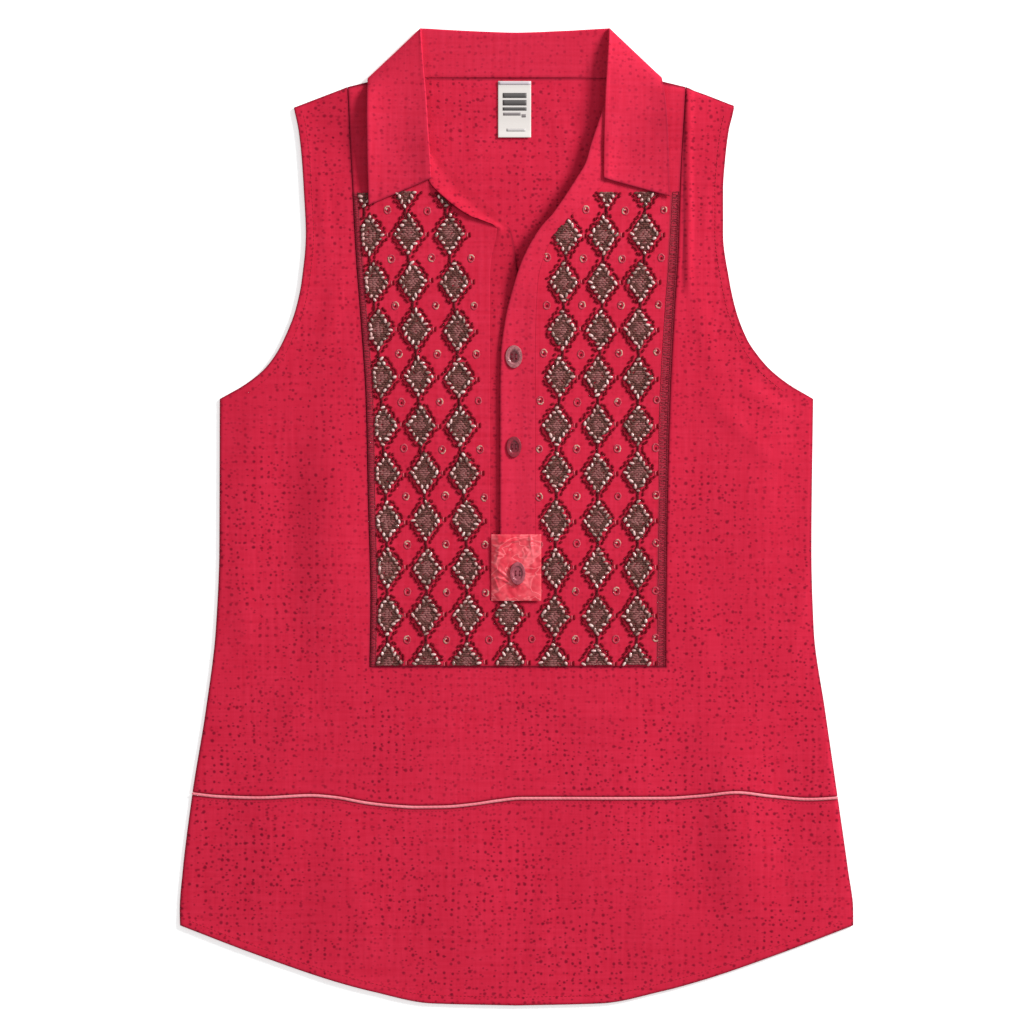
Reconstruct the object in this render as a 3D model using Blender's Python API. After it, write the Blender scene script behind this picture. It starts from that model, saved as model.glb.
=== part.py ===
"""Sleeveless blouse with an embroidered insert, laid flat with its front up.

The blouse lies on the plane z = 0. +Y runs from the tail to the collar, and +X to the right
of a viewer who looks down on the front. Every table is in millimetres, and "left" and
"right" are the viewer's. The back lies flat, the front lies on it, and the two bands of
the placket and the collar lie on the front.
"""

import math

import bpy
from mathutils import Vector

# Driving dimensions, in millimetres
MM = 0.001
CLOTH = 1.0
COLLAR_CLOTH = 1.2
SEAM = 0.3
LAY = SEAM + 0.05
PIPING_WIDTH = 2.4
BUST_WIDTH = 490.0
UNDERARM = 97.5
BIB_FOOT = -123.9
PLACKET_FOOT = -67.6

# Heights of the layers, in millimetres
FRONT_BASE = CLOTH + SEAM
BACK_STEP = COLLAR_CLOTH + SEAM
FRONT_STEP = BACK_STEP + 0.7
OVERLAP_RISE = CLOTH + LAY
FOLD_RADIUS = 1.15
FALL_MIDDLE = COLLAR_CLOTH / 2
PIPING_FRONT_HEIGHT = 1.6
PIPING_BACK_HEIGHT = 1.0

# Where the back rises over the collar's fall, and the front over the back
BACK_RISE_FOOT = 326.1
BACK_RISE_TOP = 345.1
BACK_RISE_REACH = (126.0, 145.0)
FRONT_RISE_FOOT = 306.0
FRONT_RISE_TOP = 330.0
FRONT_RISE_REACH = (140.0, 165.0)
BESIDE_BAND_REACH = 55.0
FOOT_RISE_REACH = 30.0

# How far the collar stands off what it is sewn to
SEAM_STAND = 1.15
SEAM_LIFT = 0.75
LEAF_AIR = 0.4
STAND_GAP = 0.05
STAND_HEIGHT = 2.5
STAND_SHARE = 0.55

# Outline, at half the size of the bust each side of the middle
ARMHOLE = (
    # height, left, right
    (338.0, -183.9, 179.7),
    (330.5, -182.2, 178.1),
    (319.8, -180.0, 175.4),
    (295.0, -177.2, 172.3),
    (270.2, -175.6, 170.6),
    (233.0, -173.9, 170.6),
    (195.8, -177.2, 175.6),
    (171.0, -182.4, 181.0),
    (146.3, -192.1, 190.5),
    (133.9, -198.9, 198.7),
    (121.5, -208.6, 209.5),
    (109.1, -224.3, 225.2),
    (UNDERARM, -BUST_WIDTH / 2, BUST_WIDTH / 2),
)
SIDE = (
    # height, left, right
    (UNDERARM, -BUST_WIDTH / 2, BUST_WIDTH / 2),
    (-27.0, -245.4, 243.6),
    (-93.0, -248.3, 245.5),
    (-160.0, -256.6, 254.9),
    (-226.0, -267.3, 264.5),
    (-292.0, -275.6, 274.0),
    (-325.0, -278.1, 278.1),
    (-337.1, -277.8, 278.1),
)
SHOULDER = (
    # distance from the middle, height of the shoulder and back neck edge
    (184.0, 338.0),
    (136.0, 355.0),
    (122.0, 357.4),
    (77.0, 368.5),
    (72.5, 365.0),
    (65.0, 362.3),
    (0.0, 361.9),
)
HEM_DROP = (
    # share of the half width, share of the drop from the hem corner to the tail
    (0.0, 1.0),
    (0.25, 0.975),
    (0.43, 0.825),
    (0.56, 0.675),
    (0.77, 0.37),
    (1.0, 0.0),
)
HEM_CORNER = -337.1
TAIL = -403.2
PIPING_LINE = (
    # x, height
    (-280.0, -226.8),
    (-243.0, -230.9),
    (-214.0, -231.7),
    (-170.0, -229.9),
    (-150.0, -231.4),
    (-123.5, -236.1),
    (-100.0, -238.7),
    (-83.0, -239.6),
    (-60.0, -239.3),
    (-36.0, -237.2),
    (-16.0, -234.3),
    (4.0, -232.3),
    (122.0, -232.2),
    (152.0, -230.3),
    (181.0, -227.2),
    (210.0, -230.5),
    (240.0, -233.0),
    (280.0, -230.5),
)

# Seams and edges inside the outline
BIB_SEAM = (
    # height, left, right
    (356.0, -139.5, 139.6),
    (274.3, -135.5, 135.0),
    (212.0, -132.1, 132.8),
    (171.0, -129.0, 130.1),
    (96.7, -124.2, 126.4),
    (14.0, -122.3, 124.2),
    (-68.6, -120.2, 123.0),
    (BIB_FOOT, -121.1, 122.7),
)
BIB_EDGE = (
    # height, left, right: the insert's edge along the collar and then along the bands
    (368.5, -77.0, 76.2),
    (357.8, -71.2, 72.0),
    (336.3, -66.9, 67.7),
    (306.6, -64.3, 63.2),
    (292.0, -67.9, 67.6),
    (277.6, -72.6, 73.0),
    (262.0, -58.0, 59.0),
    (248.0, -38.0, 44.5),
    (240.5, -21.0, 37.5),
    (230.5, -18.6, 29.5),
    (212.0, -20.9, 21.4),
    (196.0, -21.9, 17.6),
    (163.0, -21.9, 15.8),
    (133.0, -21.9, 15.3),
    (PLACKET_FOOT, -21.9, 15.3),
)
FREE_EDGE = (
    # height, edge of the under band, edge of the over band
    (306.6, -63.4, 62.4),
    (292.0, -55.2, 57.0),
    (277.6, -41.7, 48.5),
    (262.0, -26.0, 38.5),
    (248.0, -11.4, 28.5),
    (240.5, -6.6, 21.5),
    (230.5, -3.0, 14.5),
    (212.0, -0.4, 4.8),
    (196.0, 1.8, -0.8),
    (163.0, 5.2, -9.4),
    (133.0, 7.4, -13.0),
    (97.0, 9.5, -13.6),
    (PLACKET_FOOT, 11.2, -13.6),
)
ROWS = (
    # outer height, height at the insert's seam, height at the neck or band
    (338.0, 355.0, 368.5),
    (327.0, 340.0, 357.8),
    (314.0, 322.0, 336.3),
    (298.0, 301.0, 306.6),
    (283.0, 286.0, 292.0),
    (269.0, 271.5, 277.6),
    (256.0, 258.0, 262.0),
    (244.0, 245.5, 248.0),
    (236.0, 238.0, 240.5),
    (228.0, 229.0, 230.5),
    (212.0, 212.0, 212.0),
    (196.0, 196.0, 196.0),
    (179.0, 179.0, 179.0),
    (163.0, 163.0, 163.0),
    (147.0, 147.0, 147.0),
    (133.0, 133.0, 133.0),
    (121.0, 121.0, 121.0),
    (111.0, 111.0, 111.0),
    (103.5, 103.5, 103.5),
    (UNDERARM, UNDERARM, UNDERARM),
    (72.0, 72.0, 72.0),
    (46.0, 46.0, 46.0),
    (20.0, 20.0, 20.0),
    (-8.0, -8.0, -8.0),
    (-38.0, -38.0, -38.0),
    (-68.0, -68.0, -68.0),
    (-97.0, -97.0, -97.0),
    (BIB_FOOT, BIB_FOOT, BIB_FOOT),
)
FIRST_BAND_ROW = 3
FIRST_JOINED_ROW = 25
LOWER_ROWS = (-150.0, -177.0, -204.0)
BACK_TOP_ROWS = (
    # outer height, share of the shoulder's slope that the row still follows
    (338.0, 1.0),
    (327.0, 0.75),
    (314.0, 0.5),
    (298.0, 0.25),
    (269.0, 0.0),
)
BACK_ROWS = (233.0, 196.0, 165.0, 147.0, 134.0, 121.0, 111.0, 103.5, UNDERARM, 50.0, 0.0,
             -50.0, -93.0, -140.0, -185.0)

# Columns of points across the panels
SIDE_CELLS = 5
MIDDLE_CELLS = 9
BAND_CELLS = 3
FRONT_HEM_CELLS = 6
BACK_HEM_CELLS = 5
PATCH_CELLS = (4, 5)
BIB_SHARES = (0.0, 0.3, 0.56, 0.74, 0.86, 0.94, 1.0)
BACK_SHARES = (0.0, 0.36, 0.54, 0.78, 1.0)
BACK_NECK_END = 77.0
BACK_NECK = (-66.0, -30.0, 0.0, 30.0, 66.0)

# Relief of the front
NECK_LIFT = (
    # height, lift of the left neck edge, lift of the right neck edge
    (372.0, 0.6, 0.6),
    (336.0, 2.0, 2.2),
    (306.0, 3.6, 4.2),
    (277.6, 2.6, 5.6),
    (250.0, 0.6, 5.4),
    (230.0, 0.2, 3.4),
    (205.0, 0.0, 1.0),
    (190.0, 0.0, 0.0),
)
NECK_REACH = 34.0
UNDER_ROLL = (
    # height, how far the under band's outer edge stands over the insert
    (306.6, 0.0),
    (277.6, 0.5),
    (269.0, 2.8),
    (262.0, 3.4),
    (248.0, 2.6),
    (240.5, 1.6),
    (230.5, 0.5),
    (212.0, 0.0),
)
FOLDS = (
    # centre x, centre y, reach along, reach across, lean in degrees, height
    (-142.0, -10.0, 170.0, 46.0, 1.0, 3.0),
    (-216.0, 20.0, 110.0, 26.0, -2.0, 1.3),
    (189.0, -255.0, 125.0, 36.0, -4.0, 2.8),
    (182.0, 40.0, 130.0, 44.0, 3.0, 1.8),
    (-205.0, -270.0, 105.0, 40.0, 5.0, 1.8),
    (-40.0, -300.0, 90.0, 60.0, 8.0, 1.6),
    (80.0, -210.0, 75.0, 50.0, -12.0, 1.2),
)

# Collar stations from the front end to the middle of the back
COLLAR_LEFT = (
    # seam x, seam y, crest x, crest y, edge x, edge y, layer, crest rise, edge flare
    (-64.2, 308.6, -70.8, 278.9, -122.1, 257.0, 1.0, 1.4, 0.6),
    (-65.0, 316.0, -72.2, 300.0, -122.7, 282.0, 1.0, 2.4, 2.2),
    (-66.3, 331.0, -73.8, 322.0, -123.0, 308.0, 1.0, 3.0, 3.4),
    (-68.0, 343.0, -75.3, 345.0, -123.1, 330.0, 1.0, 3.2, 3.6),
    (-70.2, 355.0, -77.2, 370.0, -123.0, 346.0, 1.0, 2.8, 3.0),
    (-73.0, 363.0, -78.7, 390.0, -122.9, 355.5, 0.85, 2.0, 2.0),
    (-71.6, 366.4, -79.4, 402.2, -122.7, 361.3, 0.5, 1.0, 0.5),
    (-69.0, 365.6, -77.4, 402.8, -118.6, 361.0, 0.03, 0.0, 0.0),
    (-62.0, 363.2, -68.0, 402.3, -108.0, 356.0, 0.0, 0.0, 0.0),
    (-38.0, 362.6, -40.0, 400.8, -60.0, 350.5, 0.0, 0.0, 0.0),
)
COLLAR_MIDDLE = (0.0, 362.4, 0.0, 399.4, 0.0, 348.8, 0.0, 0.0, 0.0)
COLLAR_RIGHT = (
    # seam x, seam y, crest x, crest y, edge x, edge y, layer, crest rise, edge flare
    (63.2, 308.6, 72.4, 278.9, 126.8, 264.4, 1.0, 1.4, 0.6),
    (64.2, 316.0, 72.6, 300.0, 126.0, 288.0, 1.0, 2.4, 1.6),
    (66.8, 331.0, 73.0, 322.0, 125.2, 312.0, 1.0, 3.0, 2.4),
    (69.0, 343.0, 73.8, 345.0, 124.0, 332.0, 1.0, 3.2, 2.8),
    (71.4, 355.0, 75.0, 370.0, 122.3, 347.0, 1.0, 2.8, 2.4),
    (72.8, 363.0, 76.2, 390.0, 120.7, 356.5, 0.85, 2.0, 1.8),
    (71.4, 366.4, 76.8, 402.2, 119.6, 362.0, 0.5, 1.0, 0.5),
    (68.8, 365.6, 74.6, 402.8, 115.6, 361.5, 0.03, 0.0, 0.0),
    (61.5, 363.2, 66.0, 402.3, 105.0, 356.0, 0.0, 0.0, 0.0),
    (38.0, 362.6, 39.0, 400.8, 58.0, 350.5, 0.0, 0.0, 0.0),
)

# Label, patch and buttons
LABEL_COLUMNS = (-15.2, -1.6, 12.0)
LABEL_ROWS = (359.6, BACK_RISE_TOP, BACK_RISE_FOOT, 313.2)
PATCH = {"left": -20.8, "right": 20.4, "top": -14.4, "foot": -69.2}
BUTTONS = (
    # name, x, height, half width, half length
    ("button_top", -2.1, 132.2, 6.9, 9.4),
    ("button_middle", -2.0, 57.8, 6.1, 8.6),
    ("button_foot", 1.0, -46.4, 6.3, 9.4),
)
BUTTON_PROFILE = (
    # share of the half width, height
    (0.86, 0.0),
    (1.0, 0.7),
    (0.97, 1.7),
    (0.84, 2.1),
    (0.68, 1.9),
    (0.58, 1.3),
)
BUTTON_SIDES = 20

# Profiles of the collar's roll and of the piping
ARC = (
    # share of the fold's radius along, share of it up
    (1.0, 1.0),
    (0.3, 0.72),
    (0.0, 0.0),
    (0.3, -0.72),
    (1.0, -1.0),
)
ROLL = (
    # distance from the crest to the seam (positive) or to the edge, share of the rise
    (2.4, 0.80),
    (1.1, 0.96),
    (0.0, 1.0),
    (-1.4, 0.95),
    (-3.0, 0.84),
)
LEAF = (
    # share from crest to edge, share of the rise left, share of the flare
    (0.16, 0.62, 0.0),
    (0.40, 0.25, 0.10),
    (0.72, 0.05, 0.45),
    (1.0, 0.0, 1.0),
)
COLLAR_STEPS = 2
PIPING_PROFILE = (
    # share of the width, share of the height
    (-0.5, 0.2),
    (-0.3, 0.0),
    (0.3, 0.0),
    (0.5, 0.2),
    (0.5, 0.7),
    (0.25, 1.0),
    (-0.25, 1.0),
    (-0.5, 0.7),
)

# sRGB colours
RED = (205, 41, 65)
DEEP_RED = (191, 40, 59)
COLLAR_RED = (212, 48, 72)
PIPING_PINK = (240, 140, 148)
PATCH_PINK = (214, 72, 82)
LABEL_WHITE = (230, 222, 218)
BUTTON_BROWN = (132, 52, 62)


# Interpolation

def straight(table, at, column):
    """A column's value at a place, on straight lines between the rows."""
    falling = table[0][0] > table[-1][0]
    rows = table[::-1] if falling else table
    at = min(max(at, rows[0][0]), rows[-1][0])
    for low, high in zip(rows, rows[1:]):
        if at <= high[0]:
            share = (at - low[0]) / (high[0] - low[0])
            return low[column] + (high[column] - low[column]) * share
    return rows[-1][column]


def slopes(places, values):
    """Slopes for a smooth curve that never overshoots its points."""
    steps = [(v2 - v1) / (p2 - p1)
             for p1, p2, v1, v2 in zip(places, places[1:], values, values[1:])]
    inner = [0.0 if a * b <= 0 else 2 * a * b / (a + b) for a, b in zip(steps, steps[1:])]
    return [steps[0]] + inner + [steps[-1]]


def curve_at(places, values, at):
    """Value of the smooth curve through (place, value) at a place."""
    at = min(max(at, places[0]), places[-1])
    tangents = slopes(places, values)
    k = max(i for i in range(len(places) - 1) if places[i] <= at)
    span = places[k + 1] - places[k]
    t = (at - places[k]) / span
    rest = 1 - t
    return (
        values[k] * (1 + 2 * t) * rest * rest
        + tangents[k] * span * t * rest * rest
        + values[k + 1] * t * t * (3 - 2 * t)
        - tangents[k + 1] * span * t * t * rest
    )


def smooth(table, at, column):
    """A column's value at a place, on a smooth curve through the rows."""
    rows = sorted(table)
    return curve_at([row[0] for row in rows], [row[column] for row in rows], at)


def lerp(a, b, share):
    return a + (b - a) * share


def ramp(value, low, high):
    return min(max((value - low) / (high - low), 0.0), 1.0)


# Outline and seams

def side_x(height, right):
    """The garment's edge: armhole above the underarm, side seam below it."""
    table = ARMHOLE if height > UNDERARM else SIDE
    return smooth(table, height, 2 if right else 1)


def seam_x(height, right):
    """The insert's side seam, carried straight down below the insert."""
    return smooth(BIB_SEAM, max(height, BIB_FOOT), 2 if right else 1)


def bib_edge_x(height, right):
    return straight(BIB_EDGE, height, 2 if right else 1)


def free_edge_x(height, right):
    return straight(FREE_EDGE, height, 2 if right else 1)


def shoulder_y(x):
    return straight(SHOULDER, abs(x), 1)


def piping_y(x):
    return smooth(PIPING_LINE, x, 1)


def hem_y(x):
    """Height of the curved tail at x."""
    half_width = abs(smooth(SIDE, HEM_CORNER, 2 if x > 0 else 1))
    drop = smooth(HEM_DROP, min(abs(x) / half_width, 1.0), 1)
    return lerp(HEM_CORNER, TAIL, drop)


# Relief

def back_z(x, y):
    """Underside of the back: flat, and raised over the collar's fall."""
    near, far = BACK_RISE_REACH
    return BACK_STEP * ramp(y, BACK_RISE_FOOT, BACK_RISE_TOP) * ramp(-abs(x), -far, -near)


def fold_z(x, y):
    """Soft folds of the front, each an oval swelling with no height outside its reach."""
    lift = 0.0
    for centre_x, centre_y, along, across, lean, height in FOLDS:
        turn = math.radians(lean)
        dx = x - centre_x
        dy = y - centre_y
        u = dx * math.sin(turn) + dy * math.cos(turn)
        v = dx * math.cos(turn) - dy * math.sin(turn)
        reach = (u / along) ** 2 + (v / across) ** 2
        if reach < 1:
            lift += height * (1 - reach) ** 2
    return lift


def neck_path(right):
    """The neck edge from the shoulder down to where the two bands cross."""
    column = 2 if right else 1
    collar = [(row[column], row[0]) for row in BIB_EDGE[:3]]
    return collar + [(row[column], row[0]) for row in FREE_EDGE[:9]]


def distance_to(path, x, y):
    """Shortest distance in plan from (x, y) to a path."""
    best = 1e9
    for (ax, ay), (bx, by) in zip(path, path[1:]):
        length = (bx - ax) ** 2 + (by - ay) ** 2
        share = min(max(((x - ax) * (bx - ax) + (y - ay) * (by - ay)) / length, 0.0), 1.0)
        best = min(best, math.hypot(x - lerp(ax, bx, share), y - lerp(ay, by, share)))
    return best


def neck_z(x, y, right):
    """The front stands up softly towards its neck edge."""
    near = distance_to(neck_path(right), x, y) / NECK_REACH
    if near >= 1:
        return 0.0
    return smooth(NECK_LIFT, y, 2 if right else 1) * (1 - near * near) ** 2


def front_z(x, y, right=None):
    """Underside of the front. right says which half it is, or None for the side of x."""
    if right is None:
        right = x > 0
    near, far = FRONT_RISE_REACH
    step = FRONT_STEP * ramp(y, FRONT_RISE_FOOT, FRONT_RISE_TOP) * ramp(-abs(x), -far, -near)
    return FRONT_BASE + step + fold_z(x, y) + neck_z(x, y, right)


def bib_z(x, y):
    """The insert rises on the right to the level of the over band."""
    beside = ramp(bib_edge_x(y, True) - x, -BESIDE_BAND_REACH, 0.0) if x > 0 else 0.0
    above_foot = ramp(y, PLACKET_FOOT, PLACKET_FOOT + FOOT_RISE_REACH)
    return front_z(x, y) + OVERLAP_RISE * beside * above_foot


def under_band_z(x, y):
    """The under band rolls up at its outer edge along the neck."""
    across = ramp(free_edge_x(y, False) - x, 0.0, free_edge_x(y, False) - bib_edge_x(y, False))
    return front_z(x, y, False) + straight(UNDER_ROLL, y, 1) * across * across


def over_band_z(x, y):
    return front_z(x, y, True) + OVERLAP_RISE


# Mesh building

def linear(channel):
    share = channel / 255
    return share / 12.92 if share <= 0.04045 else ((share + 0.055) / 1.055) ** 2.4


def material(name, colour, roughness, metallic=0.0):
    made = bpy.data.materials.get(name)
    if made:
        return made
    made = bpy.data.materials.new(name)
    made.use_nodes = True
    shader = made.node_tree.nodes["Principled BSDF"]
    shader.inputs["Base Color"].default_value = (*map(linear, colour), 1.0)
    shader.inputs["Roughness"].default_value = roughness
    shader.inputs["Metallic"].default_value = metallic
    return made


def add_object(name, points, faces, finish):
    """An object from points in millimetres, smooth but for its sharp edges."""
    mesh = bpy.data.meshes.new(name)
    mesh.from_pydata([Vector(point) * MM for point in points], [], faces)
    mesh.materials.append(finish)
    mesh.shade_smooth()
    mesh.set_sharp_from_angle(angle=math.radians(40))
    made = bpy.data.objects.new(name, mesh)
    bpy.context.collection.objects.link(made)
    return made


def closed_wall(name, upper, lower, cells, finish):
    """A closed wall between two grids of points, over the given (row, column) cells."""
    index = {}
    points = []

    def corner(layer, key):
        if (layer, key) not in index:
            index[layer, key] = len(points)
            points.append((upper if layer else lower)[key[0]][key[1]])
        return index[layer, key]

    faces = []
    borders = set()
    for i, j in cells:
        ring = [(i, j), (i + 1, j), (i + 1, j + 1), (i, j + 1)]
        faces.append([corner(1, key) for key in ring])
        faces.append([corner(0, key) for key in reversed(ring)])
        for edge in zip(ring, ring[1:] + ring[:1]):
            if edge[::-1] in borders:
                borders.remove(edge[::-1])
            else:
                borders.add(edge)
    for a, b in sorted(borders):
        faces.append([corner(1, b), corner(1, a), corner(0, a), corner(0, b)])
    return add_object(name, points, faces, finish)


def panel(name, plan, underside, finish, cells=None, thickness=CLOTH):
    """A panel of cloth over a grid of (x, y) points, its underside at a given height."""
    lower = [[(x, y, underside(x, y)) for x, y in row] for row in plan]
    upper = [[(x, y, z + thickness) for x, y, z in row] for row in lower]
    if cells is None:
        cells = [(i, j) for i in range(len(plan) - 1) for j in range(len(plan[0]) - 1)]
    return closed_wall(name, upper, lower, cells, finish)


def between(start, end, shares):
    return [(lerp(start[0], end[0], s), lerp(start[1], end[1], s)) for s in shares]


def even(count):
    return [k / count for k in range(count + 1)]


# Rows of points across the panels

def front_row(outer, seam):
    """Points across the front at one row: left side, middle and right side."""
    left_in = (seam_x(seam, False) - SEAM / 2, seam)
    right_in = (seam_x(seam, True) + SEAM / 2, seam)
    left = between((side_x(outer, False), outer), left_in, even(SIDE_CELLS))
    right = between(right_in, (side_x(outer, True), outer), even(SIDE_CELLS))
    middle = between(left_in, right_in, even(MIDDLE_CELLS))[1:-1]
    return left + middle + right


def back_row(outer, follow):
    """Points across the back, following the shoulder and neck by the given share."""
    inner_shares = [1 - share for share in BACK_SHARES[::-1]]
    left = between((side_x(outer, False), 0.0), (-BACK_NECK_END, 0.0), BACK_SHARES)
    right = between((BACK_NECK_END, 0.0), (side_x(outer, True), 0.0), inner_shares)
    places = [x for x, _ in left] + list(BACK_NECK) + [x for x, _ in right]
    tip = ARMHOLE[0][0]
    return [(x, outer + (shoulder_y(x) - tip) * follow if follow else outer) for x in places]


def seam_row(row_of, offset):
    """The points of a row moved onto the piping line, with an offset in height."""
    level = piping_y(0.0)
    ends = [side_x(piping_y(side), side > 0) for side in (-BUST_WIDTH / 2, BUST_WIDTH / 2)]
    row = row_of(level)
    low, high = row[0][0], row[-1][0]
    places = [lerp(ends[0], ends[1], (x - low) / (high - low)) for x, _ in row]
    return [(x, piping_y(x) + offset) for x in places]


def hem_rows(row_of, count):
    """Rows of the hem band, from just below the piping to the curved tail."""
    clear = PIPING_WIDTH / 2 + SEAM
    top = seam_row(row_of, -clear)
    low, high = top[0][0], top[-1][0]
    rows = []
    for t in even(count):
        sides = [
            side_x(lerp(top[end][1], HEM_CORNER, t), end == -1)
            for end in (0, -1)
        ]
        places = [lerp(sides[0], sides[1], (x - low) / (high - low)) for x, _ in top]
        rows.append([(x, lerp(piping_y(x) - clear, hem_y(x), t)) for x in places])
    return rows


# Panels

def make_front(finish):
    plan = [front_row(outer, seam) for outer, seam, _ in ROWS]
    plan[-1] = [(x, y - SEAM) for x, y in plan[-1]]
    plan += [front_row(y, y) for y in LOWER_ROWS]
    plan.append(seam_row(lambda y: front_row(y, y), PIPING_WIDTH / 2 + SEAM))
    last_column = len(plan[0]) - 1
    cells = []
    for i in range(len(plan) - 1):
        below_bib = i >= len(ROWS) - 1
        for j in range(last_column):
            beside = j < SIDE_CELLS or j >= last_column - SIDE_CELLS
            if below_bib or beside:
                cells.append((i, j))
    panel("front_body", plan, front_z, finish, cells)
    panel("front_hem_band", hem_rows(lambda y: front_row(y, y), FRONT_HEM_CELLS), front_z, finish)


def make_back(finish):
    plan = [back_row(outer, follow) for outer, follow in BACK_TOP_ROWS]
    plan += [back_row(y, 0.0) for y in BACK_ROWS]
    plan.append(seam_row(lambda y: back_row(y, 0.0), PIPING_WIDTH / 2 + SEAM))
    panel("back_body", plan, back_z, finish)
    panel("back_hem_band", hem_rows(lambda y: back_row(y, 0.0), BACK_HEM_CELLS), back_z, finish)


def make_bib(finish):
    """The insert: two halves from the shoulders, joined below the placket."""
    plan = []
    half = SEAM / 2
    for _, seam, neck in ROWS:
        left_in = (bib_edge_x(neck, False) - SEAM, neck)
        right_in = (bib_edge_x(neck, True) + SEAM, neck)
        left = between((seam_x(seam, False) + half, seam), left_in, BIB_SHARES)
        right = between((seam_x(seam, True) - half, seam), right_in, BIB_SHARES)
        plan.append(left + right[::-1])
    gap = len(BIB_SHARES) - 1
    last_column = len(plan[0]) - 1
    cells = [
        (i, j)
        for i in range(len(plan) - 1)
        for j in range(last_column)
        if j != gap or i >= FIRST_JOINED_ROW
    ]
    panel("bib", plan, bib_z, finish, cells)


def make_bands(finish):
    """Two bands of the placket, each cut in one with its strip along the neck."""
    heights = [row[2] for row in ROWS[FIRST_BAND_ROW:FIRST_JOINED_ROW]] + [PLACKET_FOOT]
    for name, right, underside in (
        ("band_under", False, under_band_z),
        ("band_over", True, over_band_z),
    ):
        inward = -SEAM if right else SEAM
        plan = []
        for y in heights:
            outer = (bib_edge_x(y, right) + inward, y)
            free = (free_edge_x(y, right), y)
            shares = even(BAND_CELLS)
            plan.append(between(free, outer, shares) if right else between(outer, free, shares))
        panel(name, plan, underside, finish)


# Collar

def towards(start, end):
    """Unit vector in plan from one point to another."""
    gap = math.hypot(end[0] - start[0], end[1] - start[1])
    return ((end[0] - start[0]) / gap, (end[1] - start[1]) / gap)


def front_top(x, y):
    return bib_z(x, y) + CLOTH


def collar_section(station):
    """Points across the collar from its neck seam over the roll to its outer edge."""
    sewn_x, sewn_y, crest_x, crest_y, edge_x, edge_y, layer, rise, flare = station
    seam = (sewn_x, sewn_y)
    crest = (crest_x, crest_y)
    edge = (edge_x, edge_y)
    clear = SEAM + COLLAR_CLOTH / 2 + LEAF_AIR
    to_seam = towards(crest, seam)
    to_edge = towards(crest, edge)
    inward = SEAM_STAND * layer * (0 if sewn_x == 0 else math.copysign(1, -sewn_x))
    foot = (sewn_x + inward, sewn_y + SEAM_LIFT * (1 - layer))
    wall_middle = lerp(back_z(*seam) + CLOTH / 2, front_z(*seam) + CLOTH / 2, layer)
    above = front_top(*seam) + clear
    points = [
        (*foot, wall_middle),
        (*foot, lerp(wall_middle + STAND_GAP, above, layer)),
    ]
    along = (lerp(foot[0], crest[0], 0.5), lerp(foot[1], crest[1], 0.5))
    points.append((*along, lerp(STAND_HEIGHT, above + rise * STAND_SHARE, layer)))
    for (share, up), (shift, kept) in zip(ARC, ROLL):
        way = to_seam if shift > 0 else to_edge
        reach = lerp(share * FOLD_RADIUS, abs(shift), layer)
        x = crest_x + way[0] * reach
        y = crest_y + way[1] * reach
        low = FALL_MIDDLE + FOLD_RADIUS * (1 + up)
        high = front_top(crest_x, crest_y) + clear + rise * kept
        points.append((x, y, lerp(low, high, layer)))
    for share, kept, lifted in LEAF:
        x = lerp(crest_x, edge_x, share)
        y = lerp(crest_y, edge_y, share)
        high = front_top(x, y) + clear + rise * kept + flare * lifted
        points.append((x, y, lerp(FALL_MIDDLE, high, layer)))
    return points


def make_collar(finish):
    """One surface from the left front end round the neck to the right front end."""
    stations = list(COLLAR_LEFT) + [COLLAR_MIDDLE] + list(COLLAR_RIGHT[::-1])
    sections = [collar_section(station) for station in stations]
    places = [float(k) for k in range(len(sections))]
    fine = [k / COLLAR_STEPS for k in range((len(sections) - 1) * COLLAR_STEPS + 1)]
    tracks = []
    for v in range(len(sections[0])):
        tracks.append([
            Vector([curve_at(places, [s[v][axis] for s in sections], u) for axis in range(3)])
            for u in fine
        ])
    columns = len(tracks)
    rows = len(fine)
    upper = []
    lower = []
    for i in range(rows):
        upper.append([])
        lower.append([])
        for j in range(columns):
            along = tracks[j][min(i + 1, rows - 1)] - tracks[j][max(i - 1, 0)]
            across = tracks[min(j + 1, columns - 1)][i] - tracks[max(j - 1, 0)][i]
            normal = along.cross(across).normalized() * (COLLAR_CLOTH / 2)
            for side, way in ((upper, 1), (lower, -1)):
                point = tracks[j][i] + normal * way
                point.z = max(point.z, 0.0)
                side[-1].append(point)
    cells = [(i, j) for i in range(rows - 1) for j in range(columns - 1)]
    closed_wall("collar", upper, lower, cells, finish)


# Piping, label, patch and buttons

def make_piping(name, row_of, underside, height, finish):
    """A cord along the seam, flat beneath and rounded above."""
    path = seam_row(row_of, 0.0)
    sides = len(PIPING_PROFILE)
    points = []
    for x, y in path:
        base = underside(x, y)
        for across, up in PIPING_PROFILE:
            points.append((x, y + across * PIPING_WIDTH, base + up * height))
    faces = [list(range(sides))[::-1]]
    for i in range(len(path) - 1):
        for k in range(sides):
            a = i * sides + k
            b = i * sides + (k + 1) % sides
            faces.append([a, b, b + sides, a + sides])
    faces.append([(len(path) - 1) * sides + k for k in range(sides)])
    add_object(name, points, faces, finish)


def make_label(finish):
    """A woven label on the inside of the back, below the neck seam."""
    plan = [[(x, y) for x in LABEL_COLUMNS] for y in LABEL_ROWS]
    panel("neck_label", plan, lambda x, y: back_z(x, y) + CLOTH + LAY, finish)


def make_patch(finish):
    """The small shiny piece sewn over the foot of the placket."""
    columns, rows = PATCH_CELLS
    plan = []
    for t in even(rows):
        y = lerp(PATCH["top"], PATCH["foot"], t)
        plan.append([(lerp(PATCH["left"], PATCH["right"], s), y) for s in even(columns)])
    panel("placket_patch", plan, lambda x, y: over_band_z(x, y) + CLOTH + LAY, finish)


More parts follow.
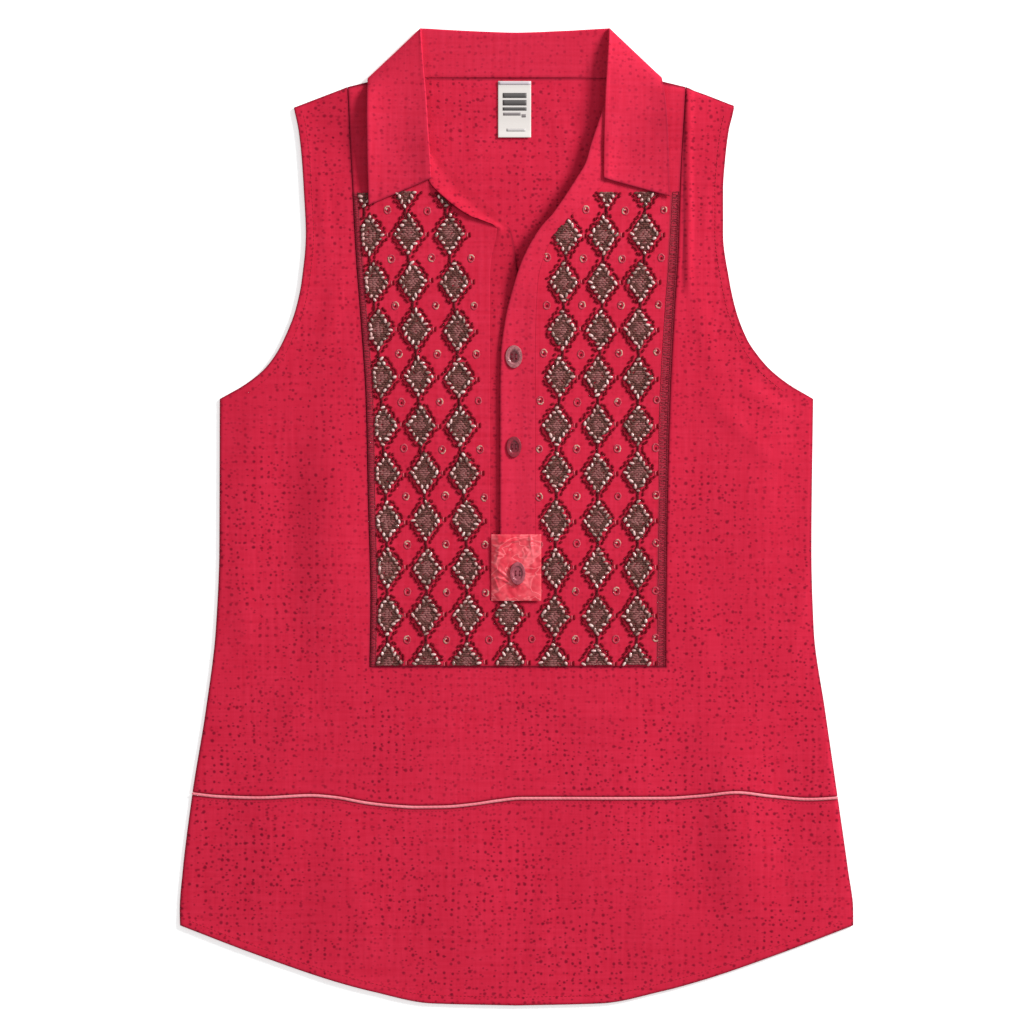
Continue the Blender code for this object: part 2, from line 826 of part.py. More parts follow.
def make_button(name, x, y, half_width, half_length, base, finish):
    """A turned oval button with a raised rim round a sunk middle."""
    points = [(0.0, 0.0, 0.0)]
    for share, height in BUTTON_PROFILE:
        for k in range(BUTTON_SIDES):
            turn = 2 * math.pi * k / BUTTON_SIDES
            points.append((
                share * half_width * math.cos(turn),
                share * half_length * math.sin(turn),
                height,
            ))
    points.append((0.0, 0.0, BUTTON_PROFILE[-1][1]))
    last = len(points) - 1
    faces = []
    for k in range(BUTTON_SIDES):
        after = (k + 1) % BUTTON_SIDES
        faces.append([0, 1 + after, 1 + k])
        for ring in range(len(BUTTON_PROFILE) - 1):
            a = 1 + ring * BUTTON_SIDES
            b = a + BUTTON_SIDES
            faces.append([a + k, a + after, b + after, b + k])
        top = 1 + (len(BUTTON_PROFILE) - 1) * BUTTON_SIDES
        faces.append([top + k, top + after, last])
    made = add_object(name, points, faces, finish)
    made.location = Vector((x, y, base)) * MM


def make_buttons(finish):
    for name, x, y, half_width, half_length in BUTTONS:
        base = over_band_z(x, y) + CLOTH + LAY
        if PATCH["foot"] < y < PATCH["top"]:
            base += CLOTH + LAY
        make_button(name, x, y, half_width, half_length, base, finish)


def main():
    for old in list(bpy.data.objects):
        bpy.data.objects.remove(old)
    cotton = material("red_cotton", RED, 0.85)
    make_back(cotton)
    make_front(cotton)
    make_bib(material("embroidered_cotton", DEEP_RED, 0.85))
    make_bands(cotton)
    make_collar(material("collar_cotton", COLLAR_RED, 0.85))
    pink = material("pink_piping", PIPING_PINK, 0.6)
    make_piping("piping_front", lambda y: front_row(y, y), front_z, PIPING_FRONT_HEIGHT, pink)
    make_piping("piping_back", lambda y: back_row(y, 0.0), back_z, PIPING_BACK_HEIGHT, pink)
    make_label(material("woven_label", LABEL_WHITE, 0.7))
    make_patch(material("shiny_satin", PATCH_PINK, 0.3))
    make_buttons(material("dyed_button", BUTTON_BROWN, 0.35))


main()
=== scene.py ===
"""Looks of the sleeveless blouse: cloth, embroidery, trims, floor, light and camera.

Every table is in millimetres. +X is the viewer's right, +Y runs up the blouse to its collar and
+Z rises from the floor. "Left" and "right" are the viewer's. The tables of the outline and the
relief are those of the solids, so each piece lies within a few millimetres of its solid.
"""

import bisect
import math
import random

import bmesh
import bpy
import numpy as np
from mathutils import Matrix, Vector, noise


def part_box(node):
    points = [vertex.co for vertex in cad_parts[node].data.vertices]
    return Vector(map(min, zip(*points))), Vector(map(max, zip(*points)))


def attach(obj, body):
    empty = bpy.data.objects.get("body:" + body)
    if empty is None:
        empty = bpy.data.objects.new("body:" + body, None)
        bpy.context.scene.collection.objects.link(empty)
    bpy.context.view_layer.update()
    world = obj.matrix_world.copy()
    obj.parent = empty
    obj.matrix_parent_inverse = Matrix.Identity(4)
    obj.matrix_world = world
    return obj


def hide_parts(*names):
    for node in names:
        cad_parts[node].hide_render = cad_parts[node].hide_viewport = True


bl_info = {
    "name": "Sleeveless Blouse",
    "version": (1, 0, 0),
    "blender": (4, 5, 0),
    "location": "View3D > Sidebar > Blouse",
    "description": "Cloth, embroidery and trims of a sleeveless blouse laid flat",
    "category": "Object",
}

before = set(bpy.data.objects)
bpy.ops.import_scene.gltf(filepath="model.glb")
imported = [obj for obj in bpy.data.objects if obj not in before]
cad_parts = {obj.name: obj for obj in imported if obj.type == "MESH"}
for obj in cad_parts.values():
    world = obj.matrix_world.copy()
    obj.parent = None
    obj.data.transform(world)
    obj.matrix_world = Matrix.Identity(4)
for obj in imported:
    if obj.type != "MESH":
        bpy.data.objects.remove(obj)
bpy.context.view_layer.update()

# Layers of cloth, and the levels at which the pieces begin and end
MM = 0.001
CLOTH = 1.0
COLLAR_CLOTH = 1.2
SEAM = 0.3
LAY = SEAM + 0.05
PIPING_WIDTH = 2.4
PIPING_HEIGHT = {"piping_front": 1.6, "piping_back": 1.0}
BUST_WIDTH = 490.0
UNDERARM = 97.5
BIB_FOOT = -123.9
PLACKET_FOOT = -67.6
HEM_CORNER = -337.1
TAIL = -403.2
FRONT_BASE = CLOTH + SEAM
BACK_STEP = COLLAR_CLOTH + SEAM
FRONT_STEP = BACK_STEP + 0.7
OVERLAP_RISE = CLOTH + LAY
FOLD_RADIUS = 1.15
FALL_MIDDLE = COLLAR_CLOTH / 2

# Outline
ARMHOLE = (
    # height, left, right
    (338.0, -183.9, 179.7),
    (330.5, -182.2, 178.1),
    (319.8, -180.0, 175.4),
    (295.0, -177.2, 172.3),
    (270.2, -175.6, 170.6),
    (233.0, -173.9, 170.6),
    (195.8, -177.2, 175.6),
    (171.0, -182.4, 181.0),
    (146.3, -192.1, 190.5),
    (133.9, -198.9, 198.7),
    (121.5, -208.6, 209.5),
    (109.1, -224.3, 225.2),
    (UNDERARM, -BUST_WIDTH / 2, BUST_WIDTH / 2),
)
SIDE = (
    # height, left, right
    (UNDERARM, -BUST_WIDTH / 2, BUST_WIDTH / 2),
    (-27.0, -245.4, 243.6),
    (-93.0, -248.3, 245.5),
    (-160.0, -256.6, 254.9),
    (-226.0, -267.3, 264.5),
    (-292.0, -275.6, 274.0),
    (-325.0, -278.1, 278.1),
    (HEM_CORNER, -277.8, 278.1),
)
SHOULDER = (
    # distance from the middle, height of the shoulder and back neck edge
    (184.0, 338.0),
    (136.0, 355.0),
    (122.0, 357.4),
    (77.0, 368.5),
    (76.4, 365.0),
    (75.0, 362.5),
    (0.0, 361.9),
)
HEM_DROP = (
    # share of the half width, share of the drop from the hem corner to the tail
    (0.0, 1.0),
    (0.25, 0.975),
    (0.43, 0.825),
    (0.56, 0.675),
    (0.77, 0.37),
    (1.0, 0.0),
)
PIPING_LINE = (
    # x, height
    (-280.0, -226.8),
    (-243.0, -230.9),
    (-214.0, -231.7),
    (-170.0, -229.9),
    (-150.0, -231.4),
    (-123.5, -236.1),
    (-100.0, -238.7),
    (-83.0, -239.6),
    (-60.0, -239.3),
    (-36.0, -237.2),
    (-16.0, -234.3),
    (4.0, -232.3),
    (122.0, -232.2),
    (152.0, -230.3),
    (181.0, -227.2),
    (210.0, -230.5),
    (240.0, -233.0),
    (280.0, -230.5),
)

# Seams and edges inside the outline
BIB_SEAM = (
    # height, left, right
    (356.0, -139.5, 139.6),
    (274.3, -135.5, 135.0),
    (212.0, -132.1, 132.8),
    (171.0, -129.0, 130.1),
    (96.7, -124.2, 126.4),
    (14.0, -122.3, 124.2),
    (-68.6, -120.2, 123.0),
    (BIB_FOOT, -121.1, 122.7),
)
BIB_EDGE = (
    # height, left, right: above the collar's points the edges lie under its leaves
    (368.5, -81.0, 80.4),
    (336.3, -79.5, 79.0),
    (306.6, -78.0, 77.5),
    (292.0, -76.4, 76.0),
    (277.6, -72.6, 73.0),
    (262.0, -58.0, 59.0),
    (248.0, -38.0, 44.5),
    (241.5, -20.0, 38.0),
    (237.0, -15.0, 34.6),
    (230.5, -16.0, 29.5),
    (212.0, -20.9, 21.4),
    (196.0, -21.9, 17.6),
    (163.0, -21.9, 15.8),
    (133.0, -21.9, 15.3),
    (PLACKET_FOOT, -21.9, 15.3),
)
FREE_EDGE = (
    # height, edge of the under band, edge of the over band
    (340.0, -78.0, 72.6),
    (306.6, -70.0, 61.2),
    (292.0, -58.0, 57.0),
    (277.6, -41.7, 48.5),
    (262.0, -26.0, 38.5),
    (248.0, -11.4, 28.5),
    (240.5, -6.6, 21.5),
    (230.5, -3.0, 14.5),
    (212.0, -0.4, 4.8),
    (196.0, 1.8, -0.8),
    (163.0, 5.2, -9.4),
    (133.0, 7.4, -13.0),
    (97.0, 9.5, -13.6),
    (PLACKET_FOOT, 11.2, -13.6),
)
BAND_TOP = (311.0, 338.0)
SLANT = (
    # height at the insert's seam, at the outline, at the neck or band
    (355.0, 338.0, 368.5),
    (340.0, 327.0, 357.8),
    (322.0, 314.0, 336.3),
    (301.0, 298.0, 306.6),
    (286.0, 283.0, 292.0),
    (271.5, 269.0, 277.6),
    (258.0, 256.0, 262.0),
    (245.5, 244.0, 248.0),
    (238.0, 236.0, 240.5),
    (229.0, 228.0, 230.5),
    (212.0, 212.0, 212.0),
    (BIB_FOOT, BIB_FOOT, BIB_FOOT),
)

# Relief as in the solids, apart from the lift of the neck's edges, which is the scene's own
BACK_RISE = (326.1, 345.1)
BACK_RISE_REACH = (126.0, 145.0)
FRONT_RISE = (306.0, 330.0)
FRONT_RISE_REACH = (140.0, 165.0)
BESIDE_BAND_REACH = 55.0
FOOT_RISE_REACH = 30.0
NECK_REACH = 34.0
NECK_LIFT = (
    # height, lift of the left neck edge, lift of the right neck edge
    (372.0, 0.6, 0.6),
    (336.0, 1.6, 2.2),
    (306.0, 2.8, 4.2),
    (277.6, 2.2, 5.8),
    (250.0, 0.6, 6.6),
    (230.0, 0.2, 5.6),
    (205.0, 0.0, 3.7),
    (182.0, 0.0, 1.8),
    (166.0, 0.0, 0.0),
)
UNDER_ROLL = (
    # height, how far the under band's outer edge stands over the insert
    (306.6, 0.0),
    (277.6, 0.5),
    (269.0, 2.8),
    (262.0, 3.4),
    (248.0, 2.6),
    (240.5, 1.6),
    (230.5, 0.5),
    (212.0, 0.0),
)
FOLDS = (
    # centre x, centre y, reach along, reach across, lean in degrees, height
    (-142.0, -10.0, 170.0, 46.0, 1.0, 3.0),
    (-216.0, 20.0, 110.0, 26.0, -2.0, 1.3),
    (189.0, -255.0, 125.0, 36.0, -4.0, 2.8),
    (182.0, 40.0, 130.0, 44.0, 3.0, 1.8),
    (-205.0, -270.0, 105.0, 40.0, 5.0, 1.8),
    (-40.0, -300.0, 90.0, 60.0, 8.0, 1.6),
    (80.0, -210.0, 75.0, 50.0, -12.0, 1.2),
)

# Creases of the cloth: soft, uneven and low
FRONT_CREASES = (
    # centre x, centre y, reach along, reach across, lean in degrees, height
    (-205.0, 92.0, 46.0, 9.0, 62.0, 0.9),
    (-190.0, 70.0, 60.0, 12.0, 48.0, 0.8),
    (-222.0, 60.0, 34.0, 8.0, 30.0, 0.6),
    (206.0, 96.0, 42.0, 9.0, -58.0, 0.8),
    (184.0, 74.0, 66.0, 11.0, -44.0, 0.9),
    (224.0, 52.0, 30.0, 8.0, -24.0, 0.5),
    (-160.0, 250.0, 52.0, 9.0, -6.0, 0.7),
    (158.0, 262.0, 46.0, 8.0, 5.0, 0.6),
    (-152.0, 168.0, 60.0, 11.0, 12.0, 0.7),
    (156.0, 150.0, 54.0, 12.0, -14.0, 0.8),
    (-226.0, -70.0, 70.0, 12.0, -4.0, 0.9),
    (232.0, -90.0, 62.0, 10.0, 6.0, 0.8),
    (-185.0, -165.0, 64.0, 14.0, 9.0, 0.9),
    (-60.0, -180.0, 44.0, 16.0, 76.0, 0.6),
    (60.0, -165.0, 58.0, 13.0, 84.0, 0.6),
    (150.0, -190.0, 50.0, 13.0, 20.0, 0.7),
    (-240.0, -300.0, 46.0, 12.0, 8.0, 0.8),
    (-130.0, -320.0, 56.0, 15.0, -12.0, 0.8),
    (20.0, -340.0, 44.0, 14.0, 10.0, 0.6),
    (110.0, -310.0, 58.0, 16.0, 14.0, 0.8),
    (236.0, -292.0, 52.0, 12.0, -9.0, 0.9),
    (6.0, -150.0, 40.0, 11.0, 90.0, 0.5),
    (-160.0, -6.0, 150.0, 30.0, 1.0, 1.7),
    (-232.0, -40.0, 120.0, 22.0, -2.0, 0.8),
    (168.0, -240.0, 112.0, 28.0, -5.0, 1.5),
    (259.0, -236.0, 96.0, 32.0, -3.0, 1.5),
    (206.0, 20.0, 120.0, 26.0, 4.0, 1.1),
    (-150.0, -300.0, 84.0, 26.0, 10.0, 1.0),
    (150.0, -96.0, 70.0, 20.0, -8.0, 0.8),
)
BACK_CREASES = (
    # centre x, centre y, reach along, reach across, lean in degrees, height
    (-34.0, 306.0, 38.0, 13.0, 28.0, 0.6),
    (36.0, 322.0, 44.0, 12.0, -34.0, 0.7),
    (4.0, 286.0, 34.0, 12.0, 8.0, 0.5),
    (-120.0, 0.0, 120.0, 30.0, 4.0, 0.7),
    (188.0, -250.0, 96.0, 26.0, -6.0, 0.8),
    (178.0, 44.0, 90.0, 28.0, 5.0, 0.6),
    (-206.0, -268.0, 80.0, 26.0, 7.0, 0.6),
    (-216.0, 24.0, 74.0, 16.0, -4.0, 0.4),
)

# Collar stations from the front end to the middle of the back
COLLAR_LEFT = (
    # seam x, seam y, crest x, crest y, edge x, edge y, layer, crest rise, edge flare
    (-64.2, 308.6, -70.8, 278.9, -122.1, 257.0, 1.0, 1.4, 0.6),
    (-65.0, 316.0, -72.2, 300.0, -122.7, 282.0, 1.0, 1.5, 4.4),
    (-66.3, 331.0, -73.8, 322.0, -123.0, 308.0, 1.0, 1.6, 6.8),
    (-68.0, 343.0, -75.3, 345.0, -123.1, 330.0, 1.0, 1.7, 7.0),
    (-70.2, 355.0, -77.2, 370.0, -123.0, 346.0, 1.0, 1.8, 5.6),
    (-73.6, 362.6, -78.7, 390.0, -122.9, 355.5, 0.85, 2.2, 2.0),
    (-74.0, 362.5, -79.4, 402.2, -122.7, 361.3, 0.5, 1.2, 0.5),
    (-75.9, 362.3, -78.7, 402.9, -120.6, 361.2, 0.05, 0.2, 0.0),
    (-72.0, 362.2, -77.4, 402.8, -118.6, 361.0, 0.0, 0.0, 0.0),
    (-62.0, 362.2, -68.0, 402.3, -108.0, 356.0, 0.0, 0.0, 0.0),
    (-38.0, 362.2, -40.0, 400.8, -60.0, 350.5, 0.0, 0.0, 0.0),
)
COLLAR_MIDDLE = (0.0, 362.2, 0.0, 399.4, 0.0, 348.8, 0.0, 0.0, 0.0)
COLLAR_RIGHT = (
    # seam x, seam y, crest x, crest y, edge x, edge y, layer, crest rise, edge flare
    (63.2, 308.6, 72.4, 278.9, 126.8, 264.4, 1.0, 0.9, 0.6),
    (64.2, 316.0, 72.6, 300.0, 126.0, 288.0, 1.0, 1.0, 1.6),
    (66.8, 331.0, 73.0, 322.0, 125.2, 312.0, 1.0, 1.4, 2.4),
    (69.0, 343.0, 73.8, 345.0, 124.0, 332.0, 1.0, 3.0, 2.8),
    (71.4, 355.0, 75.0, 370.0, 122.3, 347.0, 1.0, 4.2, 2.4),
    (72.4, 362.0, 76.2, 390.0, 120.7, 356.5, 0.85, 4.0, 1.8),
    (72.4, 361.8, 76.8, 402.2, 119.6, 362.0, 0.5, 2.4, 0.5),
    (74.1, 361.8, 76.0, 402.9, 117.6, 361.7, 0.05, 0.2, 0.0),
    (70.4, 361.8, 74.6, 402.8, 115.6, 361.5, 0.0, 0.0, 0.0),
    (61.5, 361.8, 66.0, 402.3, 105.0, 356.0, 0.0, 0.0, 0.0),
    (38.0, 362.2, 39.0, 400.8, 58.0, 350.5, 0.0, 0.0, 0.0),
)
ARC = (
    # share of the fold's radius along, share of it up
    (1.0, 1.0),
    (0.3, 0.72),
    (0.0, 0.0),
    (0.3, -0.72),
    (1.0, -1.0),
)
ROLL = (
    # distance from the crest inward (positive) or to the edge, share of the rise
    (0.5, 0.02),
    (0.6, 0.62),
    (0.25, 1.0),
    (-1.4, 0.95),
    (-3.0, 0.84),
)
LEAF = (
    # share from crest to edge, share of the rise left, share of the flare
    (0.16, 0.62, 0.0),
    (0.40, 0.25, 0.10),
    (0.72, 0.05, 0.45),
    (1.0, 0.0, 1.0),
)

# The collar's foot under its crest, and the air beneath its layers
FOOT_UNDER = 5.0
SEAM_LIFT = 0.75
LEAF_AIR = 0.4
UNDER_AIR = 0.95
STAND_HEIGHT = 2.5

# Label and patch
LABEL = {"left": -15.2, "right": 12.0, "top": 359.6, "foot": 313.2}
LABEL_BARS = (
    # left, right, top, foot, colour
    (-15.0, 11.8, 359.2, 356.5, "lilac"),
    (-11.3, 8.3, 349.8, 345.7, "bar"),
    (-11.3, 8.3, 344.0, 339.6, "bar"),
    (-11.3, 8.3, 338.0, 335.4, "bar"),
    (-10.9, 3.5, 333.7, 331.4, "line"),
    (4.4, 7.8, 332.4, 329.9, "line"),
    (-8.1, 7.4, 320.6, 318.3, "pale"),
)
PATCH = {"left": -20.8, "right": 20.4, "top": -14.4, "foot": -69.2}

# Embroidery: rows of beaded diamonds that follow the insert's narrowing
DIAMOND_COLUMNS = (
    # height, then the x of the three left and the three right columns
    (272.0, -125.4, -92.0, -58.0, 42.0, 74.0, 106.5),
    (233.0, -121.0, -88.8, -54.9, 40.7, 72.1, 105.3),
    (155.0, -114.0, -83.0, -48.8, 38.0, 69.4, 100.8),
    (76.0, -109.5, -79.1, -45.9, 33.6, 66.8, 100.1),
    (-1.0, -106.6, -74.4, -41.5, 32.9, 67.3, 100.1),
    (-120.7, -105.8, -74.1, -40.5, 30.6, 65.7, 99.0),
)

# Where the diamonds lie, and the half sizes of one: its ring of beads, threads and marks
MIDDLE_COLUMN = -5.4
FIRST_DIAMOND = 272.3
DIAMOND_PITCH = 39.3
DIAMOND_ROWS = 11
FIRST_MIDDLE_ROW = 9
RING_HALF = (10.4, 15.0)
FILL_HALF = (12.6, 18.6)
FILL_ROWS = 21
MARK_HALF = (15.2, 23.0)
MARK_REACH = (13.9, 17.8)
BEADS_A_SIDE = 4
MARKS_A_SIDE = 10
BORDER = (
    # height, width of the border at the left seam, at the right seam
    (268.0, 4.2, 5.8),
    (180.0, 5.2, 7.4),
    (80.0, 6.2, 8.2),
    (0.0, 5.8, 6.2),
    (BIB_FOOT, 5.0, 6.2),
)


# Curves through tables

def curve(table, column):
    """A smooth function through a table's column over its first column. It never overshoots."""
    rows = sorted(table)
    places = [row[0] for row in rows]
    values = [row[column] for row in rows]
    steps = [
        (v2 - v1) / (p2 - p1)
        for p1, p2, v1, v2 in zip(places, places[1:], values, values[1:])
    ]
    inner = [0.0 if a * b <= 0 else 2 * a * b / (a + b) for a, b in zip(steps, steps[1:])]
    slopes = [steps[0]] + inner + [steps[-1]]

    def value(at):
        at = min(max(at, places[0]), places[-1])
        k = min(max(bisect.bisect_right(places, at) - 1, 0), len(places) - 2)
        span = places[k + 1] - places[k]
        t = (at - places[k]) / span
        rest = 1 - t
        return (
            values[k] * (1 + 2 * t) * rest * rest
            + slopes[k] * span * t * rest * rest
            + values[k + 1] * t * t * (3 - 2 * t)
            - slopes[k + 1] * span * t * t * rest
        )

    return value


def pair(table):
    """The left and right columns of a table as curves over its heights."""
    return curve(table, 1), curve(table, 2)


ARMHOLE_X = pair(ARMHOLE)
SIDE_X = pair(SIDE)
SEAM_X = pair(BIB_SEAM)
BIB_EDGE_X = pair(BIB_EDGE)
FREE_EDGE_X = pair(FREE_EDGE)
BORDER_REACH = pair(BORDER)
NECK_LIFT_Z = pair(NECK_LIFT)
OUTER_Y, NECK_Y = pair(SLANT)
PIPING_Y = curve(PIPING_LINE, 1)
HEM_SHARE = curve(HEM_DROP, 1)
SHOULDER_Y = curve(SHOULDER, 1)
UNDER_ROLL_Z = curve(UNDER_ROLL, 1)
COLUMN_X = [curve(DIAMOND_COLUMNS, k) for k in range(1, 7)]


def lerp(a, b, share):
    return a + (b - a) * share


def ramp(value, low, high):
    return min(max((value - low) / (high - low), 0.0), 1.0)


def soft(share):
    """A share from 0 to 1, eased at both ends."""
    return share * share * (3 - 2 * share)


# Outline and seams

def side_x(height, right):
    """The garment's edge: armhole above the underarm, side seam below it."""
    return (ARMHOLE_X if height > UNDERARM else SIDE_X)[right](height)


def seam_x(height, right):
    """The insert's side seam, carried straight down below the insert."""
    return SEAM_X[right](max(height, BIB_FOOT))


def hem_y(x):
    """Height of the curved tail at x."""
    half_width = abs(SIDE_X[x > 0](HEM_CORNER))
    return lerp(HEM_CORNER, TAIL, HEM_SHARE(min(abs(x) / half_width, 1.0)))


def to_side(x, y):
    """Distance in plan from a point to the armhole or side seam beside it."""
    right = x > 0
    slope = (side_x(y + 1, right) - side_x(y - 1, right)) / 2
    return abs(side_x(y, right) - x) / math.hypot(1, slope)


def to_bib(x, y):
    """Distance in plan from a point on the body to the insert's seam."""
    aside = max(seam_x(y, False) - x, x - seam_x(y, True), 0.0)
    return math.hypot(aside, max(BIB_FOOT - y, 0.0))


def to_hem(x, y):
    slope = (hem_y(x + 1) - hem_y(x - 1)) / 2
    return (y - hem_y(x)) / math.hypot(1, slope)


def neck_path(right):
    """The neck edge from the shoulder down to where the two bands cross."""
    column = 2 if right else 1
    collar = [(row[column], row[0]) for row in BIB_EDGE[:2]]
    return collar + [(row[column], row[0]) for row in FREE_EDGE[1:10]]


NECK_PATHS = (neck_path(False), neck_path(True))


def distance_to(path, x, y):
    """Shortest distance in plan from (x, y) to a path."""
    best = math.inf
    for (ax, ay), (bx, by) in zip(path, path[1:]):
        length = (bx - ax) ** 2 + (by - ay) ** 2
        share = min(max(((x - ax) * (bx - ax) + (y - ay) * (by - ay)) / length, 0.0), 1.0)
        best = min(best, math.hypot(x - lerp(ax, bx, share), y - lerp(ay, by, share)))
    return best


# Relief

def swellings(table, x, y):
    """Oval swellings, each with no height outside its reach."""
    lift = 0.0
    for centre_x, centre_y, along, across, lean, height in table:
        turn = math.radians(lean)
        dx = x - centre_x
        dy = y - centre_y
        u = dx * math.sin(turn) + dy * math.cos(turn)
        v = dx * math.cos(turn) - dy * math.sin(turn)
        reach = (u / along) ** 2 + (v / across) ** 2
        if reach < 1:
            lift += height * (1 - reach) ** 2
    return lift


def back_z(x, y):
    """Underside of the back: flat, and raised over the collar's fall."""
    near, far = BACK_RISE_REACH
    return BACK_STEP * ramp(y, *BACK_RISE) * ramp(-abs(x), -far, -near)


def neck_z(x, y, right):
    """The front stands up softly towards its neck edge."""
    if y < NECK_LIFT[-1][0] - NECK_REACH:
        return 0.0
    near = distance_to(NECK_PATHS[right], x, y) / NECK_REACH
    if near >= 1:
        return 0.0
    return NECK_LIFT_Z[right](y) * (1 - near * near) ** 2


def front_z(x, y, right=None):
    """Underside of the front. right says which half it is, or None for the side of x."""
    if right is None:
        right = x > 0
    near, far = FRONT_RISE_REACH
    step = FRONT_STEP * ramp(y, *FRONT_RISE) * ramp(-abs(x), -far, -near)
    return FRONT_BASE + step + swellings(FOLDS, x, y) + neck_z(x, y, right)


def bib_z(x, y):
    """The insert rises on the right to the level of the over band."""
    beside = ramp(BIB_EDGE_X[True](y) - x, -BESIDE_BAND_REACH, 0.0) if x > 0 else 0.0
    above_foot = ramp(y, PLACKET_FOOT, PLACKET_FOOT + FOOT_RISE_REACH)
    return front_z(x, y) + OVERLAP_RISE * beside * above_foot


def under_band_z(x, y):
    """The under band rolls up at its outer edge along the neck."""
    free = FREE_EDGE_X[False](y)
    across = ramp(free - x, 0.0, free - BIB_EDGE_X[False](y))
    return front_z(x, y, False) + UNDER_ROLL_Z(y) * across * across


def over_band_z(x, y):
    return front_z(x, y, True) + OVERLAP_RISE


def ripple(x, y, size, seed):
    """Gentle unevenness of the cloth, from -1 to 1, with features of a size in millimetres."""
    return noise.noise(Vector((x / size, y / size, seed)))


BROAD_SWELL = 0.45
FINE_SWELL = 0.09
BACK_FOLDS = 0.4
BACK_CREASED = 0.8
BACK_SWELL = 0.05


def front_swell(x, y):
    """What the front's creases and unevenness add to the solid's form."""
    broad = BROAD_SWELL * (ripple(x, y * 0.7, size=52.0, seed=3.1) + 0.5)
    fine = FINE_SWELL * ripple(x, y, size=15.0, seed=7.7)
    return swellings(FRONT_CREASES, x, y) + broad + fine


def back_swell(x, y):
    """What the back adds: part of the front's folds, its own creases and a fine unevenness."""
    follow = BACK_FOLDS * swellings(FOLDS, x, y)
    fine = BACK_SWELL * ripple(x, y, size=20.0, seed=11.3)
    return follow + swellings(BACK_CREASES, x, y) * BACK_CREASED + fine


# How a panel lies: half its thickness, and how far its edges, seams, hems and tuck reach

HALF = 0.4
BAND_HALF = 0.5
THINNEST = 0.3
EDGE_ROUND = 0.7
# how far the painted shade reaches in from an edge
EDGE_SHADE_REACH = 2.2
SEAM_DIP = 0.5
SEAM_DIP_REACH = 2.2
HEM_WIDTH = 8.0
HEM_EXTRA = 0.35
HEM_BLEND = 0.8
JOIN_REACH = 3.4
FRONT_MEETS = 0.22
BACK_MEETS = -0.26
PUCKER = 0.16
PUCKER_REACH = 11.0
PUCKER_LENGTH = 4.6
PUCKER_SEED = 5.0
TUCK_X = 138.2
TUCK_SPAN = (181.0, 196.0)
TUCK_LINE = 1.9
TUCK_RIDGE = 4.2
TUCK_HEIGHT = 1.1
TUCK_DIP = 0.3
TAPER_REACH = 4.0
TAPERED_HALF = 0.05
BACK_PIPING_GAP = 0.6


class Lie:
    """How a panel lies at one point: the height of its middle, half its thickness, and its share
    of painted shade at an edge.
    """

    def __init__(self, z, half=HALF):
        self.z = z
        self.half = half
        # share of painted shade: a dark line where the cloth rounds off at an edge or seam
        self.edge = 0.0

    def round_off(self, gap):
        """The thickness rounds away at an edge, and painted shade darkens the cloth towards it."""
        near = 1 - ramp(gap, 0.0, EDGE_ROUND)
        self.half *= max(THINNEST, math.sqrt(1 - near * near))
        self.edge = max(self.edge, 1 - ramp(gap, 0.0, EDGE_SHADE_REACH))

    def sew(self, gap, share=1.0):
        """A seam: the cloth dips into it, in full or by a share. In full, it also rounds off and
        takes painted shade beside the seam.
        """
        near = max(0.0, 1 - gap / SEAM_DIP_REACH)
        self.z -= SEAM_DIP * near * near * share
        if share == 1.0:
            self.round_off(gap)

    def tuck(self, gap, share):
        """A stitched tuck: a small dip with a line of painted shade at gap 0, and a soft ridge on
        its positive side.
        """
        line = max(0.0, 1 - abs(gap) / TUCK_LINE)
        ridge = max(0.0, 1 - abs(gap - TUCK_RIDGE) / TUCK_RIDGE)
        self.z += share * (TUCK_HEIGHT * soft(ridge) - TUCK_DIP * line)
        # painted shade along the tuck's line
        self.edge = max(self.edge, share * line)

    def taper(self, gap, z):
        """The cloth thins away onto a surface, so that no line shows at its edge."""
        away = soft(ramp(gap, 0.0, TAPER_REACH))
        self.z = lerp(z, self.z, away)
        self.half = lerp(TAPERED_HALF, self.half, away)

    def turn_under(self, gap, along):
        """A hem turned under: thicker over its width, and slightly puckered."""
        folded = 1 - soft(ramp(gap, HEM_WIDTH - HEM_BLEND, HEM_WIDTH + HEM_BLEND))
        extra = HEM_EXTRA * folded
        self.half += extra / 2
        self.z += extra / 2
        self.pucker(gap, along)
        self.round_off(gap)

    def pucker(self, gap, along):
        """Small uneven puckers beside a line of stitching."""
        near = max(0.0, 1 - gap / PUCKER_REACH)
        uneven = noise.noise(Vector((along / PUCKER_LENGTH, 0.0, PUCKER_SEED)))
        self.z += PUCKER * near * near * (1 + uneven)

    def join(self, gap, z):
        """The front and the back meet at an outer seam."""
        near = max(0.0, 1 - gap / JOIN_REACH)
        self.z = lerp(self.z, z, near * near)
        self.round_off(gap)


def meeting_z(x, y, front):
    """Height of the front's or back's edge where the two are sewn together."""
    return back_z(x, y) + CLOTH + (FRONT_MEETS if front else BACK_MEETS)


UPPER_ARMHOLE = ARMHOLE[-4][0]


def outer_edges(lie, x, y, front):
    """Armhole, side seam and shoulder."""
    gap = to_side(x, y)
    if y > UNDERARM:
        lie.turn_under(gap, y)
    else:
        lie.join(gap, meeting_z(x, y, front))
        lie.pucker(gap, y)
    if y > UPPER_ARMHOLE:
        lie.join(max(SHOULDER_Y(abs(x)) - y, 0.0), meeting_z(x, y, front))


def to_piping(x, y):
    """Distance from a point to the edge of the piping above or below it."""
    return abs(y - PIPING_Y(x)) - PIPING_WIDTH / 2


def lie_front(x, y):
    lie = Lie(front_z(x, y) + CLOTH / 2 + front_swell(x, y))
    outer_edges(lie, x, y, True)
    if x > 0 and y > TUCK_SPAN[0]:
        lie.tuck(x - TUCK_X, ramp(y, *TUCK_SPAN))
    if y > HEM_CORNER and y > PIPING_Y(x):
        lie.sew(to_bib(x, y))
    lie.sew(to_piping(x, y))
    lie.pucker(to_piping(x, y), x)
    return lie


